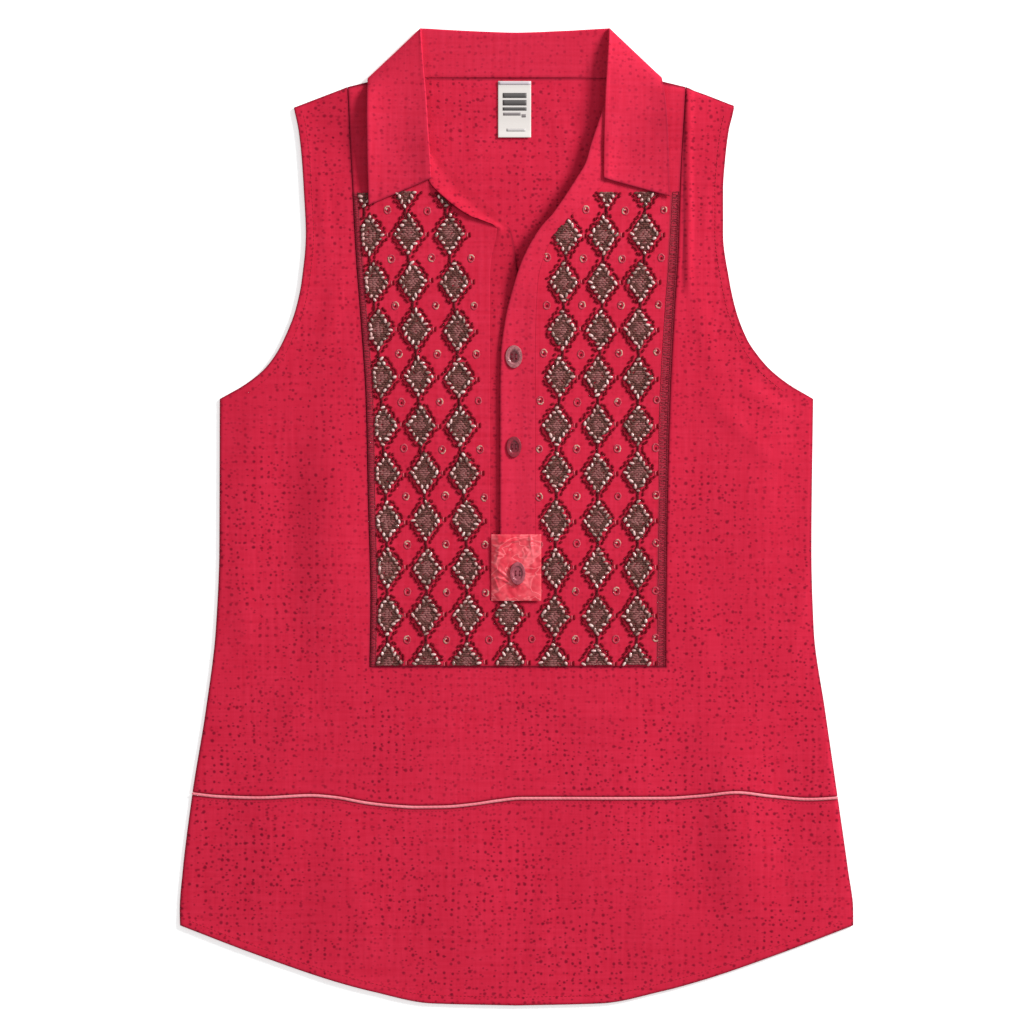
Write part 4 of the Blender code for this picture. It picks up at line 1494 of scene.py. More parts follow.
def on_insert(x, y, margin):
    """True where a point lies on the insert's cloth, clear of its edges."""
    if not BIB_FOOT + margin < y < SLANT[0][0]:
        return False
    if not seam_x(y, False) + margin < x < seam_x(y, True) - margin:
        return False
    if y > PLACKET_FOOT:
        return not BIB_EDGE_X[False](y) - margin < x < BIB_EDGE_X[True](y) + margin
    return True


def border_edge_x(y, right):
    """Inner edge of the border of thread along a side seam."""
    return seam_x(y, right) + (-1 if right else 1) * BORDER_REACH[right](y)


def diamonds():
    """Centres of the diamonds."""
    centres = []
    for k in range(DIAMOND_ROWS):
        y = FIRST_DIAMOND - k * DIAMOND_PITCH
        for column in COLUMN_X:
            centres.append((column(y), y))
        if k >= FIRST_MIDDLE_ROW:
            centres.append((MIDDLE_COLUMN, y))
    return centres


def rosettes():
    """Centres of the plain cells between the diamonds."""
    cells = []
    for k in range(DIAMOND_ROWS - 1):
        y = FIRST_DIAMOND - (k + 0.5) * DIAMOND_PITCH
        xs = [column(y) for column in COLUMN_X]
        for a in (0, 1, 3, 4):
            cells.append(((xs[a] + xs[a + 1]) / 2, y))
        cells.append((xs[5] + OUTER_ROSETTE[0], y + OUTER_ROSETTE[1]))
        if k >= FIRST_MIDDLE_ROW:
            for a in (2, 3):
                cells.append(((xs[a] + MIDDLE_COLUMN) / 2, y))
        else:
            cells.append((xs[2] + BESIDE_BANDS[0], y))
            cells.append((xs[3] - BESIDE_BANDS[1], y))
    return cells


def rhombus(half, per_side, first=0.5):
    """Places round a rhombus, each with the direction of its side."""
    corners = [(half[0], 0.0), (0.0, half[1]), (-half[0], 0.0), (0.0, -half[1])]
    places = []
    for (ax, ay), (bx, by) in zip(corners, corners[1:] + corners[:1]):
        turn = math.atan2(by - ay, bx - ax)
        for k in range(per_side):
            share = (k + first) / per_side
            places.append((lerp(ax, bx, share), lerp(ay, by, share), turn))
    return places


class Embroidery:
    """Beads and threads laid on the insert, kept inside its borders."""

    def __init__(self, sizes):
        self.sizes = sizes
        self.chance = random.Random(41)
        self.beads = Grains("embroidery_beads", BEAD)
        self.fills = Grains("embroidery_fills")
        self.outlines = Grains("embroidery_outlines")
        self.rings = Grains("embroidery_rings")
        self.threads = Grains("embroidery_borders")

    def near(self, value, reach):
        """A value at random within a reach of the given one."""
        return value + self.chance.uniform(-reach, reach)

    def sew(self, grains, x, y, turn, stitch, long=None):
        """A stitch on the insert. It has its own length unless it is given one."""
        first, second, usual, wide, high, lift = stitch
        tint = tint_between(self.chance, first, second)
        grains.add(insert_top, x, y, turn, long or usual, wide, high, tint, lift)

    def lay(self, grains, x, y, turn, stitch, long=None):
        """A stitch inside the borders. None is sewn where the insert's cloth ends."""
        inside = border_edge_x(y, False) < x < border_edge_x(y, True)
        if inside and y < BORDER[0][0] and on_insert(x, y, 1.0):
            self.sew(grains, x, y, turn, stitch, long)

    def bead(self, x, y, turn):
        """A bead at an uneven angle. Beside a border the beads run down its edge."""
        left = border_edge_x(y, False) + BEAD_CLEAR
        long = self.sizes.bead_length / MM * self.chance.uniform(0.8, 1.3)
        wide = self.sizes.bead_width / MM * self.chance.uniform(0.85, 1.15)
        if x < left:
            x = left
            turn = math.pi / 2
        turn = self.near(turn, 1.35)
        colours = self.chance.choice(BEAD_COLOURS)
        self.lay(self.beads, x, y, turn, (*colours, long, wide, wide * BEAD_HEIGHT, 0.5))

    def diamond(self, cx, cy):
        """A ring of beads on a field of thread: mauve within, then brown, then maroon."""
        for dx, dy, turn in rhombus(RING_HALF, BEADS_A_SIDE, first=0.0):
            self.bead(self.near(cx + dx, 0.6), self.near(cy + dy, 0.6), turn)
        for k in range(FILL_ROWS):
            dy = lerp(-FILL_HALF[1], FILL_HALF[1], (k + 0.5) / FILL_ROWS)
            half = FILL_HALF[0] * (1 - abs(dy) / FILL_HALF[1])
            low = max(cx - half, border_edge_x(cy + dy, False) + 0.6)
            count = max(round((cx + half - low) / FILL_STITCH), 1)
            for n in range(count):
                x = lerp(low, cx + half, (n + 0.5) / count)
                long = (cx + half - low) / count + FILL_OVERLAP
                out = abs(x - cx) / FILL_HALF[0] + abs(dy) / FILL_HALF[1]
                kind = "maroon"
                if out < self.chance.uniform(0.25, 0.5):
                    kind = "mauve"
                elif out < self.chance.uniform(0.72, 0.92):
                    kind = "brown"
                elif self.chance.random() < GAP_CHANCE:
                    continue
                self.lay(self.fills, self.near(x, 0.5), cy + dy, self.near(0.0, 0.4),
                         STITCHES[kind], long)

    def marks(self, cx, cy):
        """Short dark stitches in a scalloped line outside the threads of a diamond."""
        for k, (dx, dy, turn) in enumerate(rhombus(MARK_HALF, MARKS_A_SIDE)):
            if abs(dx) < MARK_REACH[0] and abs(dy) < MARK_REACH[1]:
                scallop = 1.0 + 0.04 * (-1) ** k
                x = self.near(cx + dx * scallop, 0.4)
                y = self.near(cy + dy * scallop, 0.4)
                self.lay(self.outlines, x, y, self.near(turn, 0.7), STITCHES["scallop"],
                         self.chance.uniform(2.8, 3.8))

    def links(self, cx, cy):
        """Dark stitches that join a diamond to the one below it and to the one beside it."""
        for k in range(LINK_STITCHES):
            y = cy - RING_HALF[1] + 0.6 - k * LINK_STEP
            self.lay(self.outlines, self.near(cx, 0.3), y, self.near(math.pi / 2, 0.4),
                     STITCHES["link"])
        beside = self.near(cy, 1.0)
        for reach, kind in ((TIE_REACH, "tie"), (PALE_TIE_REACH, "pale_tie")):
            self.lay(self.outlines, cx + reach, beside, self.near(math.pi / 2, 0.1),
                     STITCHES[kind])

    def rosette(self, cx, cy):
        """A soft ring of thread, part of it paler, round a dark knot and a small bead."""
        cx = self.near(cx, 0.6)
        cy = self.near(cy, 0.8)
        size = self.chance.uniform(2.2, 2.6)
        faint = self.chance.random() < FAINT_CHANCE
        first = self.chance.uniform(0, math.tau)
        for k in range(RING_STITCHES):
            turn = first + math.tau * k / RING_STITCHES
            x = cx + size * math.cos(turn)
            y = cy + size * 1.2 * math.sin(turn)
            kind = "pale_ring" if k < PALE_STITCHES and not faint else "ring"
            self.lay(self.rings, x, y, self.near(turn + math.pi / 2, 0.3), STITCHES[kind])
        self.lay(self.rings, cx + 0.5, cy - 0.4, math.pi / 2, STITCHES["knot"])
        if not faint:
            self.lay(self.rings, cx - 0.9, cy + 0.7, self.near(0.8, 0.8),
                     STITCHES["small_bead"])

    def border(self, right):
        """Short threads across a border, then darker ones along both its edges, each from the
        insert's foot to its neck."""
        inward = -1 if right else 1
        y = BIB_FOOT + BORDER_START
        while y < BORDER[0][0]:
            width = BORDER_REACH[right](y)
            for place, kind in ((0.25, "border_outer"), (0.65, "border_inner")):
                x = seam_x(y, right) + inward * width * self.near(place, 0.08)
                self.sew(self.threads, x, self.near(y, 0.5), self.near(0.0, 0.25),
                         STITCHES[kind], width * self.chance.uniform(0.35, 0.65))
            y += self.chance.uniform(*BORDER_STEP)
        y = BIB_FOOT + BORDER_START
        while y < BORDER[0][0]:
            for place, kind in ((0.12, "border_seam"), (0.95, "border_rim")):
                x = seam_x(y, right) + inward * BORDER_REACH[right](y) * place
                self.sew(self.threads, x, y, self.near(math.pi / 2, 0.1), STITCHES[kind])
            y += RIM_STEP


def make_embroidery(sizes, bead_finish, thread_finish):
    """Diamonds, rosettes and borders of the insert."""
    work = Embroidery(sizes)
    for cx, cy in diamonds():
        cx = work.near(cx, 0.5)
        cy = work.near(cy, 0.8)
        work.diamond(cx, cy)
        work.marks(cx, cy)
        work.links(cx, cy)
    for cx, cy in rosettes():
        work.rosette(cx, cy)
    work.border(False)
    work.border(True)
    made = [work.beads.build(bead_finish)]
    for grains in (work.fills, work.outlines, work.rings, work.threads):
        made.append(grains.build(thread_finish))
    return made


# Topstitching

STITCH_SHARE = 0.72
STITCH_WIDTH = 0.5
STITCH_HEIGHT = 0.34
STITCH_LIFT = 0.15
ARMHOLE_LINE = 6.6
TAIL_LINE = 7.0
PIPING_SEAM_LINE = 3.6


def stitch_line(grains, top, path, pitch, tint):
    """Stitches along a path of (x, y) points, laid on the surface z = top(x, y)."""
    spare = pitch / 2
    for (ax, ay), (bx, by) in zip(path, path[1:]):
        length = math.dist((ax, ay), (bx, by))
        turn = math.atan2(by - ay, bx - ax)
        while spare < length:
            share = spare / length
            grains.add(top, lerp(ax, bx, share), lerp(ay, by, share), turn,
                       pitch * STITCH_SHARE, STITCH_WIDTH, STITCH_HEIGHT, tint, STITCH_LIFT)
            spare += pitch
        spare -= length


def make_topstitching(sizes, finish):
    """Tone-on-tone stitching of the armholes, tail and piped seam."""
    pitch = sizes.stitch_pitch / MM
    tint = linear("#B41B36")
    front = Grains("topstitch_front")
    hem = Grains("topstitch_hem")
    for right in (False, True):
        inward = -1 if right else 1
        path = []
        for y in spaced(ARMHOLE[0][0] - 6.0, UNDERARM + 6.0, PLAIN, PLAIN, 60):
            slope = (side_x(y + 1, right) - side_x(y - 1, right)) / 2
            across = ARMHOLE_LINE * math.hypot(1, slope)
            path.append((side_x(y, right) + inward * across, y))
        stitch_line(front, top_of(lie_front), path, pitch, tint)
    tail = [(x, hem_y(x) + TAIL_LINE) for x in spaced(-268.0, 268.0, PLAIN, PLAIN, 90)]
    seam = [(x, PIPING_Y(x) - PIPING_SEAM_LINE)
            for x in spaced(-262.0, 260.0, PLAIN, PLAIN, 90)]
    for path in (tail, seam):
        stitch_line(hem, top_of(lie_front_hem), path, pitch, tint)
    return [grains.build(finish) for grains in (front, hem)]


# Buttons

def select_faces(piece, chosen):
    """Leaves just the faces selected for which chosen(face) is true, in edit mode."""
    mesh = bmesh.from_edit_mesh(piece.data)
    for face in mesh.faces:
        face.select = chosen(face)
    mesh.select_flush_mode()
    bmesh.update_edit_mesh(piece.data)


BUTTON = {
    # in shares of the button's width
    "rim": 0.17,
    "wall": 0.05,
    "well_swell": 0.1,
    "hole_spread": 0.13,
    "hole_radius": 0.06,
    # in shares of its height
    "well_depth": 0.42,
    "swell_height": 0.08,
    "thread_level": 0.62,
}
BUTTON_BEVEL = 0.3


def make_button(node, rim_finish, well_finish, thread_finish):
    """A turned oval button: a disc with a sunk well and four holes, sewn on with thread."""
    low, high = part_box(node)
    size = high - low
    middle = (low + high) / 2
    height = size.z
    bpy.ops.object.select_all(action="DESELECT")
    bpy.ops.mesh.primitive_cylinder_add(
        vertices=40, radius=size.x / 2, depth=height,
        location=(middle.x, middle.y, low.z + height / 2),
    )
    button = bpy.context.object
    button.name = node + "_turned"
    bpy.ops.object.transform_apply(location=True, rotation=True, scale=True)
    button.data.materials.append(rim_finish)
    button.data.materials.append(well_finish)
    bpy.ops.object.mode_set(mode="EDIT")
    bpy.ops.mesh.select_mode(type="FACE")
    select_faces(button, lambda face: face.normal.z > 0.9)
    bpy.ops.mesh.inset(thickness=size.x * BUTTON["rim"])
    bpy.ops.mesh.inset(thickness=size.x * BUTTON["wall"], depth=-height * BUTTON["well_depth"])
    button.active_material_index = 1
    bpy.ops.object.material_slot_assign()
    bpy.ops.mesh.inset(thickness=size.x * BUTTON["well_swell"],
                       depth=height * BUTTON["swell_height"])
    bpy.ops.mesh.select_all(action="SELECT")
    bpy.ops.transform.resize(
        value=(1.0, size.y / size.x, 1.0), center_override=tuple(middle)
    )
    bpy.ops.object.mode_set(mode="OBJECT")
    soften = button.modifiers.new("soften", "BEVEL")
    soften.width = BUTTON_BEVEL * MM
    soften.segments = 3
    soften.limit_method = "ANGLE"
    soften.angle_limit = math.radians(25)
    bpy.ops.object.modifier_apply(modifier=soften.name)
    spread_out = size.x * BUTTON["hole_spread"]
    for sx in (-1, 1):
        for sy in (-1, 1):
            bpy.ops.mesh.primitive_cylinder_add(
                vertices=12, radius=size.x * BUTTON["hole_radius"], depth=height * 3,
                location=(middle.x + sx * spread_out, middle.y + sy * spread_out, middle.z),
            )
            drill = bpy.context.object
            cut = button.modifiers.new("hole", "BOOLEAN")
            cut.operation = "DIFFERENCE"
            cut.object = drill
            bpy.ops.object.select_all(action="DESELECT")
            bpy.context.view_layer.objects.active = button
            button.select_set(True)
            bpy.ops.object.modifier_apply(modifier=cut.name)
            bpy.data.objects.remove(drill)
    bpy.ops.object.shade_smooth_by_angle(angle=math.radians(35))
    thread = Grains(node + "_thread")
    level = (low.z + height * BUTTON["thread_level"]) / MM
    for sx in (-1, 1):
        thread.add(lambda x, y: level, (middle.x + sx * spread_out) / MM, middle.y / MM,
                   math.pi / 2, spread_out * 2.5 / MM, 0.9, 0.6, linear("#7E1A30"), 0.3)
    return button, thread.build(thread_finish)


# Materials

def rgba(hex_colour):
    return (*linear(hex_colour), 1.0)


def add(tree, kind, inputs=None, **settings):
    """Adds a node with its settings, and returns its outputs. Each input named by its socket
    takes a value, a hex colour or the output it is linked to."""
    made = tree.nodes.new("ShaderNode" + kind)
    for key, value in settings.items():
        setattr(made, key, value)
    for key, value in (inputs or {}).items():
        if isinstance(value, bpy.types.NodeSocket):
            tree.links.new(value, made.inputs[key])
        else:
            made.inputs[key].default_value = rgba(value) if isinstance(value, str) else value
    return made.outputs


def start(name, roughness, specular=0.5, coat=0.0, others=None):
    """A material, its nodes and the place on its piece. What is the same all over the surface
    is set on the shader's own sockets."""
    made = bpy.data.materials.new(name)
    made.use_nodes = True
    tree = made.node_tree
    values = {"Roughness": roughness, "Specular IOR Level": specular, "Coat Weight": coat}
    for key, value in {**values, **(others or {})}.items():
        tree.nodes["Principled BSDF"].inputs[key].default_value = value
    return made, tree, add(tree, "TexCoord")["Object"]


def cover(tree, ground, tones, height=None, strength=0.3, depth=0.2):
    """Gives the shader its colour, a ground with tones laid over it in turn, each by its share,
    and its relief from a height, with the depth in millimetres."""
    colour = ground
    for share, tone in tones:
        colour = add(tree, "Mix", {0: share, 6: colour, 7: tone}, data_type="RGBA")[2]
    sockets = tree.nodes["Principled BSDF"].inputs
    tree.links.new(colour, sockets["Base Color"])
    if height is not None:
        relief = add(tree, "Bump",
                     {"Strength": strength, "Distance": depth * MM, "Height": height})
        tree.links.new(relief[0], sockets["Normal"])


def slubs(tree, place):
    """Uneven threads both ways, about 3 mm apart and finer: coarser than real to show."""
    both = []
    for size in ((21, 290, 1), (290, 21, 1)):
        along = add(tree, "VectorMath", {0: place, 1: size}, operation="MULTIPLY")[0]
        both.append(add(tree, "TexNoise", {"Vector": along, "Scale": 1.0, "Detail": 2.5})[0])
    return add(tree, "Math", {0: both[0], 1: both[1]}, operation="ADD")[0]


def woven_dots(tree, place, pitch, loose, radius, missing):
    """Small soft marks on a loose grid. A share of them is missing, and the rest vary."""
    wobble = add(tree, "TexNoise", {"Vector": place, "Scale": 26.0, "Detail": 1.0})["Color"]
    shift = add(tree, "VectorMath", {0: wobble, 1: (0.006, 0.006, 0.0)}, operation="MULTIPLY")[0]
    moved = add(tree, "VectorMath", {0: place, 1: shift}, operation="ADD")[0]
    counted = add(tree, "VectorMath", {0: moved, 1: (1 / pitch, 1 / pitch, 0.0)},
                  operation="MULTIPLY")[0]
    grid = add(tree, "TexVoronoi", {"Vector": counted, "Scale": 1.0, "Randomness": loose},
               voronoi_dimensions="2D")
    chance = add(tree, "SeparateColor", {0: grid["Color"]})
    size = add(tree, "MapRange", {"Value": chance[1], "To Min": 0.7, "To Max": 1.2})[0]
    reach = add(tree, "Math", {0: grid["Distance"], 1: size}, operation="DIVIDE")[0]
    mark = add(tree, "MapRange",
               {"Value": reach, "From Min": radius * 0.4, "From Max": radius * 1.35,
                "To Min": 1.0, "To Max": 0.0}, interpolation_type="SMOOTHSTEP")[0]
    there = add(tree, "MapRange",
                {"Value": chance[0], "From Min": missing, "From Max": missing + 0.5})[0]
    return add(tree, "Math", {0: mark, 1: there}, operation="MULTIPLY")[0]


def dot_shares(tree, place, share):
    """How strongly the dots and the finer specks show: in patches, and fully near the hem."""
    sizes = bpy.context.scene.blouse_sizes
    patches = add(tree, "TexNoise", {"Vector": place, "Scale": 11.0, "Detail": 1.0})[0]
    height = add(tree, "SeparateXYZ", {0: place})[1]
    strength = sizes.dot_strength * share
    for parts in (
        {"Value": patches, "From Min": 0.34, "From Max": 0.56, "To Min": 0.55, "To Max": 1.0},
        {"Value": height, "From Min": 0.20, "From Max": -0.26, "To Min": 0.85, "To Max": 1.0},
    ):
        part = add(tree, "MapRange", parts)[0]
        strength = add(tree, "Math", {0: part, 1: strength}, operation="MULTIPLY")[0]
    narrow = add(tree, "VectorMath", {0: place, 1: (0.7, 1.0, 1.0)}, operation="MULTIPLY")[0]
    dots = woven_dots(tree, place, sizes.dot_pitch, loose=0.7, radius=0.2, missing=0.06)
    specks = woven_dots(tree, narrow, sizes.dot_pitch * 0.62, loose=0.85, radius=0.21,
                        missing=0.25)
    faint = add(tree, "Math", {0: strength, 1: 0.8}, operation="MULTIPLY")[0]
    return [
        add(tree, "Math", {0: marks, 1: amount}, operation="MULTIPLY")[0]
        for marks, amount in ((dots, strength), (specks, faint))
    ]


def slub_cotton(name, colours, dot_share, border=None):
    """Slub cotton: plain weave with uneven threads, matte, with small dark woven dots, and painted
    shade along its edges, seams and tuck lines.
    """
    made, tree, place = start(name, roughness=0.9, specular=0.1)
    threads = slubs(tree, place)
    uneven = add(tree, "MapRange", {"Value": threads, "From Min": 0.66, "From Max": 1.34})[0]
    faded = add(tree, "TexNoise", {"Vector": place, "Scale": 7.0, "Detail": 2.0})[0]
    drift = add(tree, "MapRange",
                {"Value": faded, "From Min": 0.36, "From Max": 0.64, "To Max": 0.3})[0]
    dots, specks = dot_shares(tree, place, dot_share)
    # painted shade: the edge attribute darkens the cloth where it rounds off at its edges and
    # seams, and along the tuck
    edge = add(tree, "Attribute", attribute_name="edge")["Fac"]
    edge_shade = add(tree, "Math", {0: edge, 1: 0.75}, operation="MULTIPLY")[0]
    tones = [(uneven, colours["light"]), (drift, colours["drift"]), (specks, colours["dot"]),
             (dots, colours["dot"]), (edge_shade, colours["edge"])]
    if border:
        tones += border(tree, place)
    sunk = add(tree, "Math", {0: dots, 1: 0.6}, operation="MULTIPLY")[0]
    height = add(tree, "Math", {0: threads, 1: sunk}, operation="SUBTRACT")[0]
    cover(tree, colours["deep"], tones, height, strength=0.35, depth=0.4)
    return made


def tinted_grains(name, roughness, specular, coat=0.0):
    """Thread or beads that take their colour from each grain's own tint, with a fine twist."""
    made, tree, place = start(name, roughness, specular, coat)
    tint = add(tree, "Attribute", attribute_name="tint")["Color"]
    twist = add(tree, "TexNoise", {"Vector": place, "Scale": 1400.0, "Detail": 1.0})[0]
    shade = add(tree, "MapRange", {"Value": twist, "From Min": 0.3, "From Max": 0.7,
                                   "To Min": 0.72, "To Max": 1.12})[0]
    colour = add(tree, "VectorMath", {0: tint, 1: shade}, operation="MULTIPLY")[0]
    cover(tree, colour, [], twist)
    return made


def satin_cord(name):
    """Bound satin cord: pale pink, softly shiny, with the wrap's fine diagonal threads."""
    made, tree, place = start(name, roughness=0.5, specular=0.35)
    wrap = add(tree, "TexWave", {"Vector": place, "Scale": 160.0, "Distortion": 1.5},
               bands_direction="DIAGONAL")[1]
    between_threads = add(tree, "Math", {0: wrap, 1: 0.35}, operation="MULTIPLY")[0]
    patchy = add(tree, "TexNoise", {"Vector": place, "Scale": 60.0})[0]
    faded = add(tree, "MapRange",
                {"Value": patchy, "From Min": 0.4, "From Max": 0.7, "To Max": 0.45})[0]
    cover(tree, "#EC7C88", [(between_threads, "#D9606F"), (faded, "#F29AA0")], wrap)
    return made


def crinkled_satin(name):
    """Crinkled satin: very shiny polyester, with painted highlights: pale patches of painted
    sheen, and paler painted streaks that also give its creases relief.
    """
    made, tree, place = start(name, roughness=0.42, specular=0.3, coat=0.1,
                              others={"Coat Roughness": 0.3})
    cloud = add(tree, "TexNoise",
                {"Vector": place, "Scale": 90.0, "Detail": 2.0, "Distortion": 1.0})[0]
    # painted sheen: pale patches of the satin's shine
    shiny = add(tree, "MapRange",
                {"Value": cloud, "From Min": 0.36, "From Max": 0.66, "To Max": 0.75})[0]
    leaning = add(tree, "VectorMath", {0: place, 1: (0.8, 1.2, 1.0)}, operation="MULTIPLY")[0]
    crease = add(tree, "TexNoise",
                 {"Vector": leaning, "Scale": 48.0, "Detail": 1.0, "Distortion": 1.8})[0]
    off = add(tree, "Math", {0: crease, 1: 0.52}, operation="SUBTRACT")[0]
    away = add(tree, "Math", {0: off}, operation="ABSOLUTE")[0]
    # painted highlight along thin crinkled streaks, which also give the relief
    highlight_streak = add(tree, "MapRange",
                 {"Value": away, "From Max": 0.06, "To Min": 0.7, "To Max": 0.0})[0]
    cover(tree, "#D4283E", [(shiny, "#EE5A66"), (highlight_streak, "#FA7880")], highlight_streak,
          strength=0.35, depth=0.6)
    return made


def woven_tape(name, colour, dark):
    """Label tape: dense polyester satin weave with fine ribs across it."""
    made, tree, place = start(name, roughness=0.55, specular=0.35)
    ribs = add(tree, "TexWave", {"Vector": place, "Scale": 380.0, "Distortion": 0.6},
               bands_direction="Y")[1]
    grooves = add(tree, "Math", {0: ribs, 1: 0.5}, operation="MULTIPLY")[0]
    cover(tree, colour, [(grooves, dark)], ribs, strength=0.25, depth=0.1)
    return made


def dyed_shell(name, light, dark, roughness):
    """Dyed shell: polished, with cloudy bands that show where it was cut."""
    made, tree, place = start(name, roughness, coat=0.3)
    cloud = add(tree, "TexNoise",
                {"Vector": place, "Scale": 340.0, "Detail": 2.0, "Distortion": 1.5})[0]
    bands = add(tree, "MapRange", {"Value": cloud, "From Min": 0.36, "From Max": 0.64})[0]
    cover(tree, light, [(bands, dark)])
    return made


def pale_board(name):
    """Matte white board lit from below, as on a light table, so that shadows stay pale."""
    made, tree, place = start(name, roughness=0.9, specular=0.1, others={
        "Emission Color": (1.0, 1.0, 1.0, 1.0), "Emission Strength": 0.4})
    grain = add(tree, "TexNoise", {"Vector": place, "Scale": 40.0, "Detail": 3.0})[0]
    cover(tree, "#FAFAFA", [(grain, "#FDFDFD")])
    return made


def insert_border(tree, place):
    """Browner tones under the borders of thread, darkest beside each side seam."""
    parts = add(tree, "SeparateXYZ", {0: place})
    top = BORDER[0][0]
    heights = (BIB_FOOT, -50.0, 60.0, 180.0, top)
    far_below = -500.0
    below_neck = add(tree, "MapRange", {"Value": parts[1], "From Min": (top + 1.0) * MM,
                                        "From Max": (top - 3.0) * MM})[0]
    tones = []
    for right in (False, True):
        gap = parts[0]
        reached = 0.0
        for y1, y2 in zip((far_below, *heights), heights):
            limits = {"Value": parts[1], "From Min": y1 * MM, "From Max": y2 * MM,
                      "To Min": 0.0, "To Max": (seam_x(y2, right) - reached) * MM}
            part = add(tree, "MapRange", limits)[0]
            gap = add(tree, "Math", {0: gap, 1: part}, operation="SUBTRACT")[0]
            reached = seam_x(y2, right)
        gap = add(tree, "Math", {0: gap}, operation="ABSOLUTE")[0]
        for reach, share, tone in ((BORDER[2][1 + right], 0.66, "#922A3A"), (2.4, 0.6, "#6A1422")):
            near = add(tree, "MapRange",
                       {"Value": gap, "From Min": (reach - 1.2) * MM, "From Max": reach * MM,
                        "To Min": share, "To Max": 0.0})[0]
            amount = add(tree, "Math", {0: near, 1: below_neck}, operation="MULTIPLY")[0]
            tones.append((amount, tone))
    return tones


# Properties

class BlouseSizes(bpy.types.PropertyGroup):
    """Sizes that a user would change."""

    dot_pitch: bpy.props.FloatProperty(
        name="Dot Pitch", description="Spacing of the woven dots", default=0.0066,
        min=0.002, max=0.03, unit="LENGTH", precision=4,
    )
    dot_strength: bpy.props.FloatProperty(
        name="Dot Strength", description="How dark the woven dots are", default=0.8,
        min=0.0, max=1.0, subtype="FACTOR",
    )
    bead_length: bpy.props.FloatProperty(
        name="Bead Length", description="Length of the beads round each diamond",
        default=0.0037, min=0.0005, max=0.01, unit="LENGTH", precision=4,
    )
    bead_width: bpy.props.FloatProperty(
        name="Bead Width", description="Width of the beads round each diamond",
        default=0.0025, min=0.0005, max=0.01, unit="LENGTH", precision=4,
    )
    stitch_pitch: bpy.props.FloatProperty(
        name="Stitch Pitch", description="Length of one stitch and its gap", default=0.0032,
        min=0.001, max=0.01, unit="LENGTH", precision=4,
    )


class BlouseStage(bpy.types.PropertyGroup):
    """Light and camera."""

    camera_height: bpy.props.FloatProperty(
        name="Camera Height", description="Height of the camera over the floor",
        default=2.35, min=0.5, max=10.0, unit="LENGTH",
    )
    key_power: bpy.props.FloatProperty(
        name="Key Power", description="Power of the key light", default=205.0,
        min=0.0, max=1000.0, unit="POWER",
    )
    fill_strength: bpy.props.FloatProperty(
        name="Fill Strength", description="Strength of the even light from all round",
        default=0.5, min=0.0, max=5.0,
    )


# Finishes

# The "edge" colour of each red is painted shade, laid where the cloth rounds off at its edges and
# seams and along the tuck.
RED = {"deep": "#C61E3A", "light": "#D42946", "drift": "#BA1B36", "dot": "#6E0820",
       "edge": "#5E0C20"}
COLLAR_RED = {"deep": "#C6223D", "light": "#D32C49", "drift": "#BC1E38", "dot": "#800E28",
              "edge": "#861830"}
# painted shade: the under band is the same cotton as the back, and these reds are a darker copy of
# RED
SHADED_UNDER_RED = {"deep": "#BE1C36", "light": "#CC2742", "drift": "#B21932", "dot": "#680820",
             "edge": "#5E0C20"}
INSERT_RED = {"deep": "#C41E39", "light": "#D42B48", "drift": "#B81B35", "dot": "#6A0820",
              "edge": "#5E0C20"}
FINISHES = {
    # finish, what makes it, and its colours or its gloss
    "red_slub_cotton": (slub_cotton, RED, 1.0),
    "under_slub_cotton": (slub_cotton, SHADED_UNDER_RED, 1.0),
    "collar_slub_cotton": (slub_cotton, COLLAR_RED, 0.75),
    # the insert's dots nearly vanish between its embroidery
    "insert_cotton": (slub_cotton, INSERT_RED, 0.3, insert_border),
    # dull cotton, glass with a soft gleam, and polyester with a slight shine
    "cotton_thread": (tinted_grains, 0.9, 0.08),
    "glass_beads": (tinted_grains, 0.32, 0.5, 0.3),
    "sewing_thread": (tinted_grains, 0.6, 0.3),
    "satin_cord": (satin_cord,),
    "crinkled_satin": (crinkled_satin,),
    "white_tape": (woven_tape, "#E3DDD8", "#CDC4C1"),
    "lilac_weave": (woven_tape, "#C9BEC4", "#B3A6AE"),
    "dark_weave": (woven_tape, "#5E5A59", "#3E3A3A"),
    "grey_weave": (woven_tape, "#8E8687", "#6E6768"),
    "pale_weave": (woven_tape, "#C6C0BF", "#B4ADAC"),
    # rose and brown shells (top button) and red and wine shells (middle button) are lit and shaded
    # copies of one shell colour: painted light
    "rose_shell": (dyed_shell, "#B06C70", "#8C4850", 0.3),
    "brown_shell": (dyed_shell, "#762A34", "#4E161E", 0.35),
    "red_shell": (dyed_shell, "#98182F", "#741026", 0.35),
    "wine_shell": (dyed_shell, "#7C1428", "#5C0E1E", 0.35),
    "grey_shell": (dyed_shell, "#A84A58", "#8A3442", 0.5),
    "light_table": (pale_board,),
}


def finish_named(name):
    """A finish by its name, made when it is first asked for and shared after that."""
    maker, *given = FINISHES[name]
    return bpy.data.materials.get(name) or maker(name, *given)


def dress(piece, slot, *nodes):
    """The piece rides on the blouse and stands for the named solids. The slot is not used."""
    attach(piece, "root")
    if nodes:
        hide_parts(*nodes)
    return piece


# Operators

class BLOUSE_OT_back(bpy.types.Operator):
    """Makes the back and its hem band"""

    bl_idname = "blouse.back"
    bl_label = "Back"

    def execute(self, context):
        body, hem = make_back(finish_named("red_slub_cotton"))
        dress(body, "red_cotton", "back_body")
        dress(hem, "red_cotton", "back_hem_band")
        return {"FINISHED"}


